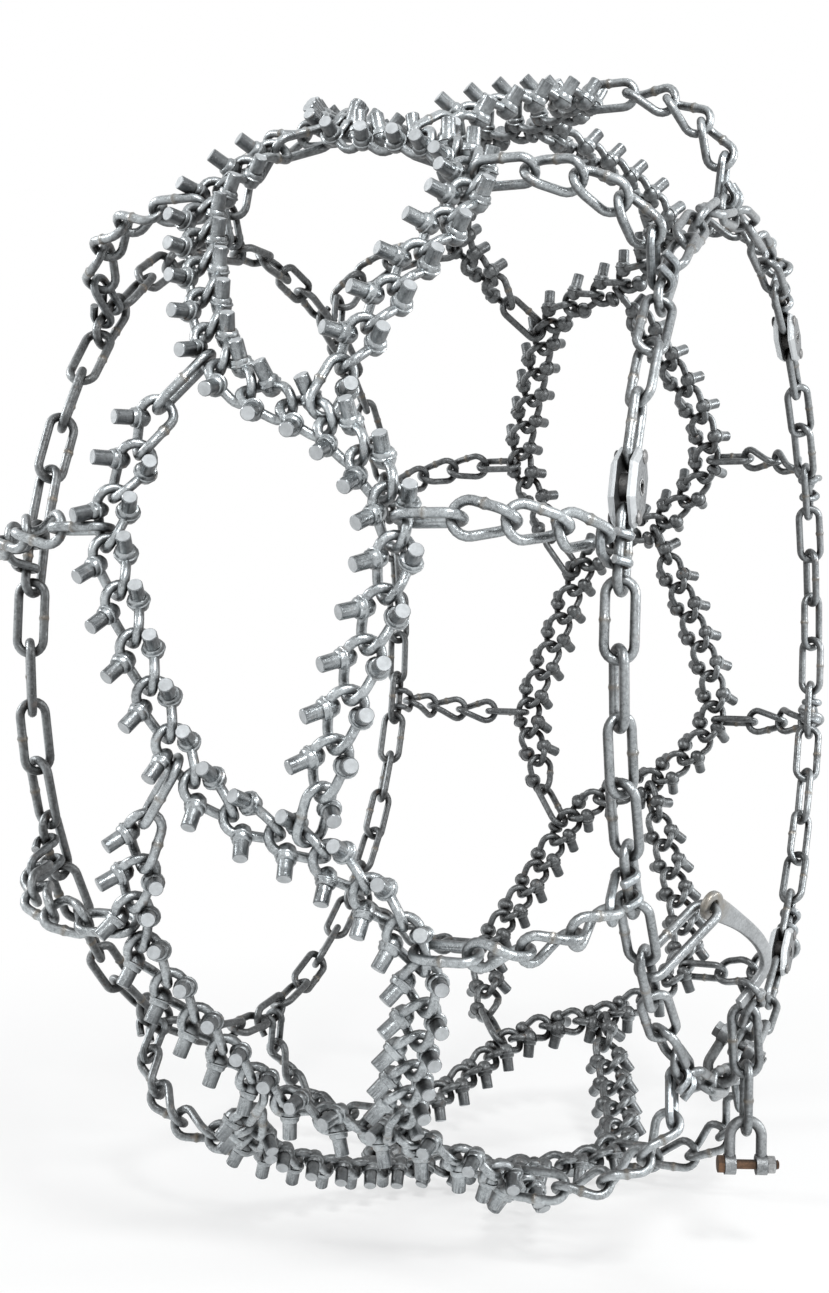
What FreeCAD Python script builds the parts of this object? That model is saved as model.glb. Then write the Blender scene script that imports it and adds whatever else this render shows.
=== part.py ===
# Studded snow chain, in the round shape that it takes in use.
#
# A net of twisted, studded links lies on a cylinder round Y. Ten equal strands make it:
# each runs across the cylinder from its left vertex to its right vertex and hooks the
# strands beside it. From every vertex an arm of links runs over the shoulder to a hook on
# the side chain. The outer side chain carries three tightening cams, a lever fastener with
# its keeper ring, and the surplus end of the chain with two shackles.
#
# Frame: origin at the centre, Y along the axis, the outer side towards -Y, Z up. A place
# on the net's cylinder is (s, y): s runs down the front, which faces -X, and y runs along
# the axis. All lengths are millimetres.

import FreeCAD
import Part
import math
import os
from FreeCAD import Vector

# Cylinder that the chain fits, and how far its middle lies above it
TREAD_RADIUS = 419.0
CHAIN_LIFT = 10.5

# Net: strands round the axis, and the way each link of a strand points, in degrees
# from the direction of travel (positive towards the inner side)
STRANDS = 10
NET_PHASE = 12.0
LEAD_HEADINGS = [14.0, 26.0]
CROSS_HEADINGS = [4.0, -20.0, -21.0, -21.0, -21.0, -28.0, -50.0, -71.0, -66.0, -50.0, -41.0, -16.0]
RETURN_FIRST_HEADING = 9.0
RETURN_LINKS = 5
LEFT_HOOKED_LINK = 5
RIGHT_HOOKED_LINK = 8

# Links of the net and the arms
WIRE = 6.5
LINK_SLACK = 0.9
TWIST_HALF_WIDTH = 9.9
TWIST_RISE = 3.8
LEFT_HOOK_SPOT = 4.6
RIGHT_HOOK_SPOT = 4.8
OUTER_ARM_HOOK_SPOT = 5.0
INNER_ARM_HOOK_SPOT = 6.2
PLAIN_HALF_WIDTH = 9.6

# Studs
STUD_DIAMETER = 10.0
STUD_REACH = 18.5
STUD_TILT = 27.0
STUD_EDGE = 0.5
COLLAR_DIAMETER = 15.0
COLLAR_LENGTH = 6.4
COLLAR_ROUND = 1.6
COLLAR_CENTRE = -4.3
COLLAR_FIT = 0.12

# Arms and side chains
SIDE_RADIUS = 338.0
SIDE_OFFSET = 215.0
ARM_BEND = 80.0
ARM_ROLL = 38.0
ARM_END_ROLL = 85.0
ARM_END_PITCH = 35.0
ARM_TWISTED_LINKS = 3
HOOK_WIRE = 6.0
HOOK_HALF_GAP = 8.6
HOOK_CURL = 262.0
HOOK_PLAY = 2.0
SEAT_GAP = 0.5
SIDE_LINKS_PER_STRAND = 5
SIDE_WIRE = 6.5
SIDE_HALF_WIDTH = 9.4
SIDE_SLACK = 1.4
CONNECTOR_ROLL = 60.0
LAST_LINK_ROLL = -58.0
LAST_STUD_TILT = 35.0
LAST_SLACK = 1.4

# Tightening cams: which link of the side chain each one stands for. Two bevelled plates
# are riveted over two pins, which the links beside them hook; a drum turns between them.
CAM_SLOTS = [6, 21, 36]
CAM_REACH = 20.5
CAM_HALF_LENGTH = 26.0
CAM_HALF_WIDTH = 15.0
CAM_FLAT = 12.0
CAM_NOSE = 4.0
CAM_PLATE = 5.0
CAM_GAP = 8.0
CAM_PIN = 6.0
CAM_RIVET = 9.0
CAM_RIVET_HEIGHT = 1.2
CAM_BEVEL = 3.0
CAM_DRUM = 18.0
CAM_JOURNAL = 11.0
CAM_SOCKET = 6.0
CAM_SOCKET_DEPTH = 9.0
SIDE_PLAY = 0.4
RUNNING_FIT = 0.08
RIVET_FIT = 0.02

# Lever fastener: a long link from the side chain, a lever on it, and a ring over its toe
LEVER_SLOT = 48
EYE_RADIUS = 270.0
EYE_LIFT = 30.0
LEVER_TURN = 61.0
LEVER_THICK = 6.0
LEVER_WIDTH = 12.0
LEVER_NECK = 17.0
LEVER_EYE = 21.0
LEVER_EYE_HOLE = 9.0
LEVER_REACH = 112.0
LEVER_CORNER = 14.0
TOE_ARC = 17.0
KEEPER_ARC = 10.0
KEEPER_WIRE = 5.0
KEEPER_HALF_WIDTH = 8.0
KEEPER_GAP = 0.85
FASTENER_LINKS = 3

# Shackles, and the surplus end of the chain
SHACKLE_SLOT = 42
SHACKLE_RADIUS = 306.0
SHACKLE_LIFT = 13.0
SHACKLE_WIRE = 8.0
SHACKLE_HALF_WIDTH = 11.5
SHACKLE_EYE = 15.0
TAIL_SHACKLE_LENGTH = 32.0
BOLT_DIAMETER = 7.0
BOLT_HEAD = 12.0
BOLT_HEAD_HEIGHT = 5.0
BOLT_END = 3.0
NUT_ACROSS = 12.0
NUT_HEIGHT = 6.0
TAIL_PITCH = 42.0
TAIL_LEAN = 4.0

os.makedirs("parts", exist_ok=True)

NET_RADIUS = TREAD_RADIUS + CHAIN_LIFT
CELL = 2.0 * math.pi * NET_RADIUS / STRANDS
LINK_GAP = WIRE + LINK_SLACK


def cosd(angle):
    return math.cos(math.radians(angle))


def sind(angle):
    return math.sin(math.radians(angle))


# ---------------------------------------------------------------- round wire

def rod(start, end, radius):
    run = end - start
    return Part.makeCylinder(radius, run.Length, start, run)


def bent_rod(start, direction, end, radius):
    """Round wire along the arc that leaves start in a direction and reaches end."""
    chord = end - start
    along = Vector(direction).normalize()
    half_turn = math.acos(max(-1.0, min(1.0, along.dot(chord) / chord.Length)))
    inward = (chord - along * chord.dot(along)).normalize()
    centre = start + inward * (chord.Length / 2.0 / math.sin(half_turn))
    section = Part.Face(Part.Wire(Part.makeCircle(radius, start, along)))
    return section.revolve(centre, along.cross(inward), 2.0 * math.degrees(half_turn))


def joined(pieces):
    body = pieces[0].multiFuse(pieces[1:])
    return body.Solids[0]


def prism(corners, height):
    """Upright block over a flat outline, given as a list of (x, y) corners."""
    points = [Vector(x, y, 0) for x, y in corners]
    outline = Part.makePolygon(points + points[:1])
    return Part.Face(outline).extrude(Vector(0, 0, height))


def hexagon(across_flats, height):
    reach = across_flats / math.sqrt(3.0)
    return prism([(reach * cosd(60 * n), reach * sind(60 * n)) for n in range(6)], height)


def ring_sector(inner, outer, first, last, height):
    """Part of a flat ring round the origin, between two angles."""
    sector = Part.makeCylinder(outer, height, Vector(), Vector(0, 0, 1), last - first)
    sector = sector.cut(Part.makeCylinder(inner, height))
    sector.rotate(Vector(), Vector(0, 0, 1), first)
    return sector


# ---------------------------------------------------------------- link shapes

def twisted_leg(apex, half_width, rise):
    """Half length of a leg, so that two tangent arcs close each end of the link."""
    low = rise
    high = apex - 0.5
    for _ in range(60):
        half = (low + high) / 2.0
        slope = rise / half
        lean = math.atan(slope)
        tip = math.atan((rise + (apex - half) * slope) / half_width)
        miss = half_width * math.cos(tip) + rise * math.sin(tip)
        miss -= (apex - half) * math.cos(lean) - rise * math.sin(lean)
        if miss > 0.0:
            high = half
        else:
            low = half
    return half


def twisted_link(pitch):
    """Closed link whose two ends are turned against each other, as in curb chain."""
    apex = (pitch + LINK_GAP) / 2.0
    half = twisted_leg(apex, TWIST_HALF_WIDTH, TWIST_RISE)
    radius = WIRE / 2.0
    pieces = []
    for side in (1.0, -1.0):
        near = Vector(-half, side * TWIST_HALF_WIDTH, -side * TWIST_RISE)
        far = Vector(half, side * TWIST_HALF_WIDTH, side * TWIST_RISE)
        pieces.append(rod(near, far, radius))
        pieces.append(bent_rod(far, far - near, Vector(apex, 0, 0), radius))
        pieces.append(bent_rod(near, near - far, Vector(-apex, 0, 0), radius))
    return joined(pieces)


def plain_link(pitch, half_width, wire, slack=LINK_SLACK):
    """Flat oval link: two straight legs and two half rings."""
    apex = (pitch + wire + slack) / 2.0
    half = apex - half_width
    radius = wire / 2.0
    pieces = []
    for side in (1.0, -1.0):
        near = Vector(-half, side * half_width, 0)
        far = Vector(half, side * half_width, 0)
        pieces.append(rod(near, far, radius))
        pieces.append(bent_rod(far, Vector(1, 0, 0), Vector(apex, 0, 0), radius))
        pieces.append(bent_rod(near, Vector(-1, 0, 0), Vector(-apex, 0, 0), radius))
    return joined(pieces)


def leg_slope():
    """Rise of a twisted link's leg for each millimetre along the link."""
    apex = (PITCH + LINK_GAP) / 2.0
    return TWIST_RISE / twisted_leg(apex, TWIST_HALF_WIDTH, TWIST_RISE)


def stud(side, half_width, slope, tilt, roll=0.0):
    """Stud on its collar, welded round one leg; side is +1 or -1 across the link.

    slope is the rise of that leg, tilt leans the stud away from the link's middle, and
    roll is the link's own turn, so that the stud still points outwards.
    """
    along = Vector(1, 0, slope).normalize()
    centre = Vector(COLLAR_CENTRE, side * half_width, COLLAR_CENTRE * slope)
    across = Vector(0, 1, 0)
    up = Vector(-along.z, 0, along.x)
    level = across * cosd(roll) - up * sind(roll)
    upright = up * cosd(roll) + across * sind(roll)
    out = upright * cosd(tilt) + level * (side * sind(tilt))
    start = centre - along * (COLLAR_LENGTH / 2.0)
    collar = Part.makeCylinder(COLLAR_DIAMETER / 2.0, COLLAR_LENGTH, start, along)
    rims = [edge for edge in collar.Edges if edge.Curve.TypeId == "Part::GeomCircle"]
    collar = collar.makeFillet(COLLAR_ROUND, rims)
    body = Part.makeCylinder(STUD_DIAMETER / 2.0, STUD_REACH - STUD_EDGE, centre, out)
    rim = Part.makeCone(STUD_DIAMETER / 2.0, STUD_DIAMETER / 2.0 - STUD_EDGE, STUD_EDGE,
                        centre + out * (STUD_REACH - STUD_EDGE), out)
    reach = COLLAR_LENGTH + STUD_DIAMETER
    bore = Part.makeCylinder(WIRE / 2.0 + COLLAR_FIT, 2.0 * reach, centre - along * reach, along)
    return collar.multiFuse([body, rim]).cut(bore).Solids[0]


# ---------------------------------------------------------------- placing

def on_tread(s, y, lift=0.0):
    angle = math.radians(NET_PHASE) - s / NET_RADIUS
    radius = NET_RADIUS + lift
    return Vector(-radius * math.cos(angle), y, radius * math.sin(angle))


def outward(point):
    """Direction away from the axis."""
    return Vector(point.x, 0, point.z).normalize()


def turned(angle, point):
    """Point turned round the axis, up the front of the net."""
    spin = FreeCAD.Rotation(Vector(0, 1, 0), angle)
    return spin.multVec(point)


def axes_of(along, normal, roll=0.0):
    """Three axes: x along a direction, z towards a normal, both then rolled round x."""
    x = Vector(along).normalize()
    z = (normal - x * normal.dot(x)).normalize()
    y = z.cross(x)
    return x, y * cosd(roll) + z * sind(roll), z * cosd(roll) - y * sind(roll)


def set_frame(shape, origin, along, normal, roll=0.0):
    """Copy of a shape with its x along a direction and its z towards a normal."""
    x, y, z = axes_of(along, normal, roll)
    matrix = FreeCAD.Matrix(x.x, y.x, z.x, origin.x,
                            x.y, y.y, z.y, origin.y,
                            x.z, y.z, z.z, origin.z,
                            0, 0, 0, 1)
    copy = shape.copy()
    copy.Placement = FreeCAD.Placement(matrix).multiply(shape.Placement)
    return copy


def link_between(shape, start, end, normal, roll=0.0):
    return set_frame(shape, (start + end) * 0.5, end - start, normal, roll)


def round_the_wheel(shape, index, of=STRANDS):
    copy = shape.copy()
    copy.rotate(Vector(0, 0, 0), Vector(0, 1, 0), 360.0 / of * index)
    return copy


def save(name, solids):
    Part.makeCompound(solids).exportStep("parts/" + name + ".step")


# ---------------------------------------------------------------- one strand

def leg_point(start, heading, pitch, side, spot):
    """Place (s, y) on a leg of the link that starts at a joint."""
    mid = pitch / 2.0 + spot
    across = side * TWIST_HALF_WIDTH
    s = start[0] + mid * cosd(heading) + across * sind(heading)
    y = start[1] + mid * sind(heading) - across * cosd(heading)
    return s, y


def joints_of(headings, pitch, start):
    places = [start]
    for heading in headings:
        s, y = places[-1]
        places.append((s + pitch * cosd(heading), y + pitch * sind(heading)))
    return places


def settle_net():
    """Pitch and last heading that make each strand end on a link of the next one."""
    pitch = CELL / (len(CROSS_HEADINGS) - 2)
    heading = 20.0
    before = RIGHT_HOOKED_LINK
    for _ in range(60):
        cross = joints_of(CROSS_HEADINGS, pitch, (0.0, 0.0))
        leg = leg_point(cross[before], CROSS_HEADINGS[before], pitch, 1.0, RIGHT_HOOK_SPOT)
        goal_s = leg[0] + CELL + cosd(heading) * LINK_GAP / 2.0
        goal_y = leg[1] + sind(heading) * LINK_GAP / 2.0
        first = (sum(cosd(h) for h in CROSS_HEADINGS) + cosd(RETURN_FIRST_HEADING)) * pitch
        side = (sum(sind(h) for h in CROSS_HEADINGS) + sind(RETURN_FIRST_HEADING)) * pitch
        climb = (goal_y - side) / RETURN_LINKS / pitch
        heading = math.degrees(math.asin(max(-0.9, min(0.9, climb))))
        reach = first + RETURN_LINKS * cosd(heading) * pitch
        pitch *= 1.0 + 0.6 * (goal_s - reach) / reach
    return pitch, heading


PITCH, RETURN_HEADING = settle_net()
HEADINGS = CROSS_HEADINGS + [RETURN_FIRST_HEADING] + [RETURN_HEADING] * RETURN_LINKS
RIGHT_VERTEX = len(CROSS_HEADINGS) - 1

start_y = 0.0
for _ in range(3):
    JOINTS = joints_of(HEADINGS, PITCH, (0.0, start_y))
    left_y = (JOINTS[0][1] + JOINTS[1][1]) / 2.0
    right_y = (JOINTS[RIGHT_VERTEX][1] + JOINTS[RIGHT_VERTEX + 1][1]) / 2.0
    start_y -= (left_y + right_y) / 2.0

LEAD_JOINTS = [JOINTS[0]]
for lead_heading in reversed(LEAD_HEADINGS):
    lead_s, lead_y = LEAD_JOINTS[0]
    LEAD_JOINTS.insert(0, (lead_s - PITCH * cosd(lead_heading), lead_y - PITCH * sind(lead_heading)))

LINK = twisted_link(PITCH)
LAST_LINK = plain_link(PITCH, PLAIN_HALF_WIDTH, WIRE, LAST_SLACK)
STUDS = {side: stud(side, TWIST_HALF_WIDTH, side * leg_slope(), STUD_TILT) for side in (1.0, -1.0)}
LAST_STUD = stud(1.0, PLAIN_HALF_WIDTH, 0.0, LAST_STUD_TILT, LAST_LINK_ROLL)


def strand():
    """Links and studs of one strand, from its lead links to its last return link."""
    places = LEAD_JOINTS[:-1] + JOINTS
    links = []
    studs = []
    last = len(places) - 2
    for index in range(last):
        start = on_tread(*places[index])
        end = on_tread(*places[index + 1])
        normal = outward((start + end) * 0.5)
        links.append(link_between(LINK, start, end, normal))
        for side in ((-1.0,) if index == 0 else (1.0, -1.0)):
            studs.append(link_between(STUDS[side], start, end, normal))
    start = on_tread(*places[last])
    end = on_tread(*places[last + 1])
    normal = outward((start + end) * 0.5)
    links.append(link_between(LAST_LINK, start, end, normal, LAST_LINK_ROLL))
    studs.append(link_between(LAST_STUD, start, end, normal, LAST_LINK_ROLL))
    return links, studs


def leg_spot(index, side, spot):
    """Point in space on a leg of link index, counted from the left vertex."""
    start = on_tread(*JOINTS[index])
    end = on_tread(*JOINTS[index + 1])
    along = (end - start).normalize()
    normal = outward((start + end) * 0.5)
    normal = (normal - along * normal.dot(along)).normalize()
    across = normal.cross(along)
    rise = side * spot * leg_slope()
    return (start + end) * 0.5 + along * spot + across * (side * TWIST_HALF_WIDTH) + normal * rise


def connector():
    """Plain link from the lead links to a leg of the strand before."""
    hooked = turned(360.0 / STRANDS, Vector(leg_spot(LEFT_HOOKED_LINK, -1.0, LEFT_HOOK_SPOT)))
    free = on_tread(*LEAD_JOINTS[0])
    along = (free - hooked).normalize()
    start = hooked - along * (LINK_GAP / 2.0)
    shape = plain_link((free - start).Length, PLAIN_HALF_WIDTH, WIRE)
    return link_between(shape, start, free, outward(start), CONNECTOR_ROLL)


# ---------------------------------------------------------------- arms

class ArmPath:
    """Route of an arm at one angle round the axis: out, over the shoulder and inwards."""

    def __init__(self, start, outer):
        self.angle = math.atan2(start.z, -start.x)
        self.sense = -1.0 if outer else 1.0
        self.radius = math.hypot(start.x, start.z)
        self.start = abs(start.y)
        self.straight = SIDE_OFFSET - ARM_BEND - self.start
        self.end_radius = SIDE_RADIUS * cosd(SIDE_STEP / 2.0) + SIDE_HALF_WIDTH

    def place(self, run):
        """Distance across, distance from the axis and turn, after a run along it."""
        bend_run = ARM_BEND * math.pi / 2.0
        if run <= self.straight:
            return self.start + run, self.radius, 0.0
        if run <= self.straight + bend_run:
            turn = (run - self.straight) / ARM_BEND
            across = SIDE_OFFSET - ARM_BEND + ARM_BEND * math.sin(turn)
            return across, self.radius - ARM_BEND * (1.0 - math.cos(turn)), turn
        rest = run - self.straight - bend_run
        return SIDE_OFFSET, self.radius - ARM_BEND - rest, math.pi / 2.0

    def point(self, run):
        across, radius, _ = self.place(run)
        return Vector(-radius * math.cos(self.angle), self.sense * across, radius * math.sin(self.angle))

    def normal(self, run):
        turn = self.place(run)[2]
        radial = Vector(-math.cos(self.angle), 0, math.sin(self.angle))
        return radial * math.cos(turn) + Vector(0, self.sense * math.sin(turn), 0)

    def step(self, run, chord):
        """Run at which a straight link of a given pitch, laid from run, ends."""
        low = run
        high = run + 1.5 * chord
        for _ in range(40):
            mid = (low + high) / 2.0
            if (self.point(mid) - self.point(run)).Length < chord:
                low = mid
            else:
                high = mid
        return low


def hook(length, drop):
    """Wire hook: a bend at the top, two shanks and two prongs curled round a leg.

    x runs down the hook from its bend, z outwards. The leg lies along y at x = length.
    drop is how far behind the leg's middle the shanks run at the top.
    """
    radius = HOOK_WIRE / 2.0
    curl = SIDE_WIRE / 2.0 + radius + SEAT_GAP
    top = HOOK_HALF_GAP
    reach = math.hypot(length - top, drop)
    lean = math.asin(curl / reach) - math.atan2(drop, length - top)
    pieces = []
    down = Vector(math.cos(lean), 0, -math.sin(lean))
    touch_x = length - curl * math.sin(lean)
    touch_z = -curl * math.cos(lean)
    for side in (1.0, -1.0):
        shoulder = Vector(top, side * HOOK_HALF_GAP, drop)
        touch = Vector(touch_x, side * HOOK_HALF_GAP, touch_z)
        pieces.append(rod(shoulder, touch, radius))
        back = (shoulder - touch).normalize()
        crest = Vector(0, 0, drop) + Vector(top, 0, 0) + back * top
        pieces.append(bent_rod(shoulder, back, crest, radius))
        section = Part.Face(Part.Wire(Part.makeCircle(radius, touch, down)))
        axis = Vector(length, side * HOOK_HALF_GAP, 0)
        pieces.append(section.revolve(axis, Vector(0, -1, 0), HOOK_CURL))
    return joined(pieces)


def arm(hooked, outer):
    """End link, twisted links and hook from a vertex to the side chain."""
    path = ArmPath(hooked, outer)
    outwards = Vector(0, path.sense, 0)
    start = hooked - outwards * (LINK_GAP / 2.0)
    first = path.step(0.0, ARM_END_PITCH - LINK_GAP / 2.0)
    joint = path.point(first)
    end_shape = plain_link((joint - start).Length, PLAIN_HALF_WIDTH, WIRE)
    end_link = link_between(end_shape, start, joint, path.normal(first / 2.0), ARM_END_ROLL)
    twisted = []
    run = first
    for _ in range(ARM_TWISTED_LINKS):
        after = path.step(run, PITCH)
        normal = path.normal((run + after) / 2.0)
        twisted.append(link_between(LINK, path.point(run), path.point(after), normal, ARM_ROLL))
        run = after
    last_joint = path.point(run)
    radial = outward(last_joint)
    leg = Vector(0, path.sense * SIDE_OFFSET, 0) + radial * path.end_radius
    down = radial * -1.0
    upper = (last_joint - down * (LINK_GAP / 2.0 + HOOK_PLAY) - leg)
    length = -upper.dot(down)
    drop = upper.dot(Vector(0, path.sense, 0))
    shape = hook(length, drop)
    placed = set_frame(shape, leg - down * length, down, Vector(0, path.sense, 0))
    return end_link, twisted, placed, math.degrees(path.angle)


# ---------------------------------------------------------------- side chains

SIDE_LINKS = STRANDS * SIDE_LINKS_PER_STRAND
SIDE_STEP = 360.0 / SIDE_LINKS
SIDE_PITCH = 2.0 * SIDE_RADIUS * sind(SIDE_STEP / 2.0)
SIDE_GAP = SIDE_WIRE + SIDE_SLACK
FULL_TURN_FROM = 4


def side_point(slot, phase, sense, radius, lift=0.0):
    """Point beside the middle of a slot; slots run up the front of the ring."""
    angle = math.radians(phase + SIDE_STEP * slot)
    return Vector(-radius * math.cos(angle), sense * (SIDE_OFFSET + lift), radius * math.sin(angle))


def side_rolls(flat_slots):
    """Roll of every side link: none at the flat slots, an even twist from one to the next."""
    rolls = {}
    for here, after in zip(flat_slots, flat_slots[1:] + [flat_slots[0] + SIDE_LINKS]):
        steps = after - here
        turn = 360.0 if steps >= FULL_TURN_FROM else 180.0
        for step in range(steps):
            rolls[here + step] = turn * step / steps
    return rolls


def side_joint(slot, phase, sense, cams):
    """Joint before the link of a slot; beside a cam it lies over the cam's pin."""
    for cam, side in ((slot, -1.0), (slot - 1, 1.0)):
        if cam % SIDE_LINKS in cams:
            middle, along = cam_frame(cam, phase, sense)
            inset = (CAM_PIN + SIDE_WIRE) / 2.0 + SEAT_GAP - SIDE_GAP / 2.0
            return middle + along * (side * (CAM_REACH - inset))
    return side_point(slot - 0.5, phase, sense, SIDE_RADIUS)


def cam_frame(slot, phase, sense):
    """Middle of a cam and the direction of the chain through it."""
    before = side_point(slot - 0.5, phase, sense, SIDE_RADIUS)
    after = side_point(slot + 0.5, phase, sense, SIDE_RADIUS)
    return (before + after) * 0.5, (after - before).normalize()


def side_chain(phase, sense, flat_slots, cams):
    rolls = side_rolls(flat_slots)
    links = []
    for slot in range(SIDE_LINKS):
        if slot in cams:
            continue
        start = side_joint(slot, phase, sense, cams)
        end = side_joint(slot + 1, phase, sense, cams)
        shape = plain_link((end - start).Length, SIDE_HALF_WIDTH, SIDE_WIRE, SIDE_SLACK)
        links.append(link_between(shape, start, end, Vector(0, sense, 0), rolls[slot]))
    return links


# ---------------------------------------------------------------- tightening cams

def cam_plate():
    """Bevelled plate with its outer face up, a bore for the drum and one for each pin."""
    corners = []
    for x, y in ((1, 1), (-1, 1), (-1, -1), (1, -1)):
        pair = [(x * CAM_HALF_LENGTH, y * CAM_NOSE), (x * CAM_FLAT, y * CAM_HALF_WIDTH)]
        corners += pair if x * y > 0 else pair[::-1]
    plate = prism(corners, CAM_PLATE)
    top = [edge for edge in plate.Edges if edge.BoundBox.ZMin > CAM_PLATE - 0.01]
    plate = plate.makeChamfer(CAM_BEVEL, top)
    for x, bore in ((0.0, CAM_JOURNAL / 2.0 + RUNNING_FIT), (CAM_REACH, CAM_PIN / 2.0 + RIVET_FIT),
                    (-CAM_REACH, CAM_PIN / 2.0 + RIVET_FIT)):
        plate = plate.cut(Part.makeCylinder(bore, CAM_PLATE, Vector(x, 0, 0)))
    return plate


def cam_pin():
    half = CAM_GAP / 2.0 + CAM_PLATE + RIVET_FIT
    pin = Part.makeCylinder(CAM_PIN / 2.0, 2.0 * half, Vector(0, 0, -half))
    heads = [Part.makeCone(CAM_RIVET / 2.0, CAM_PIN / 2.0, CAM_RIVET_HEIGHT, Vector(0, 0, side * half),
                           Vector(0, 0, side)) for side in (1, -1)]
    return joined([pin] + heads)


def cam_drum():
    """Drum with a journal in each plate and a square socket in its outer end."""
    half = CAM_GAP / 2.0 - SIDE_PLAY
    end = CAM_GAP / 2.0 + CAM_PLATE
    drum = joined([Part.makeCylinder(CAM_DRUM / 2.0, 2.0 * half, Vector(0, 0, -half)),
                   Part.makeCylinder(CAM_JOURNAL / 2.0, 2.0 * end, Vector(0, 0, -end))])
    key = CAM_SOCKET / 2.0
    socket = prism([(key, key), (-key, key), (-key, -key), (key, -key)], CAM_SOCKET_DEPTH)
    socket.translate(Vector(0, 0, end - CAM_SOCKET_DEPTH))
    return drum.cut(socket).Solids[0]


def cams():
    """Plates, pins and drums of the cams in the outer side chain."""
    plates = []
    pins = []
    drums = []
    for slot in CAM_SLOTS:
        middle, along = cam_frame(slot, OUTER_PHASE, -1.0)
        for face in (Vector(0, -1, 0), Vector(0, 1, 0)):
            plates.append(set_frame(cam_plate(), middle + face * (CAM_GAP / 2.0), along, face))
        for side in (1.0, -1.0):
            pins.append(set_frame(cam_pin(), middle + along * (side * CAM_REACH), along, Vector(0, -1, 0)))
        drums.append(set_frame(cam_drum(), middle, along, Vector(0, -1, 0)))
    return plates, pins, drums


# ---------------------------------------------------------------- lever fastener

ACROSS = Vector(0, 1, 0)


def turned_about(axis, angle, direction):
    return FreeCAD.Rotation(axis, angle).multVec(direction)


def lever():
    """Flat lever: eye at the origin, arm along x, toe bent down on an arc round the eye."""
    half = LEVER_WIDTH / 2.0
    hub = LEVER_REACH - LEVER_CORNER
    tilt = math.degrees(math.asin(LEVER_CORNER / hub))
    bend = math.sqrt(hub ** 2 - LEVER_CORNER ** 2)
    arm = prism([(0, LEVER_NECK / 2.0), (0, -LEVER_NECK / 2.0), (bend, -half), (bend, half)], LEVER_THICK)
    corner = ring_sector(LEVER_CORNER - half, LEVER_CORNER + half, -tilt, 90.0, LEVER_THICK)
    corner.translate(Vector(bend, -LEVER_CORNER, 0))
    toe = ring_sector(LEVER_REACH - half, LEVER_REACH + half, -tilt - TOE_ARC, -tilt, LEVER_THICK)
    eye = Part.makeCylinder(LEVER_EYE / 2.0, LEVER_THICK)
    body = joined([arm, corner, toe, eye]).removeSplitter()
    body = body.cut(Part.makeCylinder(LEVER_EYE_HOLE / 2.0, LEVER_THICK)).Solids[0]
    body.translate(Vector(0, 0, -LEVER_THICK / 2.0))
    return body, -tilt - KEEPER_ARC


def shackle(length):
    """Bow from two eyes, at y = +-half width, to its crown at x = length."""
    radius = SHACKLE_WIRE / 2.0
    wide = SHACKLE_HALF_WIDTH
    pieces = []
    for side in (1.0, -1.0):
        near = Vector(0, side * wide, 0)
        far = Vector(length - wide, side * wide, 0)
        pieces.append(rod(near, far, radius))
        pieces.append(bent_rod(far, Vector(1, 0, 0), Vector(length, 0, 0), radius))
        pieces.append(Part.makeCylinder(SHACKLE_EYE / 2.0, SHACKLE_WIRE, near - ACROSS * radius, ACROSS))
    bore = BOLT_DIAMETER / 2.0 + RUNNING_FIT
    drill = Part.makeCylinder(bore, 4.0 * wide, Vector(0, -2.0 * wide, 0), ACROSS)
    return joined(pieces).cut(drill).Solids[0]


def bolt_and_nut():
    """Bolt along y through both eyes of a shackle, and the nut on its end."""
    half = SHACKLE_HALF_WIDTH + SHACKLE_WIRE / 2.0 + RIVET_FIT
    length = 2.0 * half + NUT_HEIGHT + BOLT_END
    shank = Part.makeCylinder(BOLT_DIAMETER / 2.0, length)
    head = hexagon(BOLT_HEAD, BOLT_HEAD_HEIGHT)
    head.translate(Vector(0, 0, -BOLT_HEAD_HEIGHT))
    nut = hexagon(NUT_ACROSS, NUT_HEIGHT).cut(Part.makeCylinder(BOLT_DIAMETER / 2.0 + RIVET_FIT, NUT_HEIGHT))
    nut.translate(Vector(0, 0, 2.0 * half))
    pieces = []
    for piece in (joined([shank, head]), nut.Solids[0]):
        piece.rotate(Vector(), Vector(1, 0, 0), 90)
        piece.translate(Vector(0, half, 0))
        pieces.append(piece)
    return pieces


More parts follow.
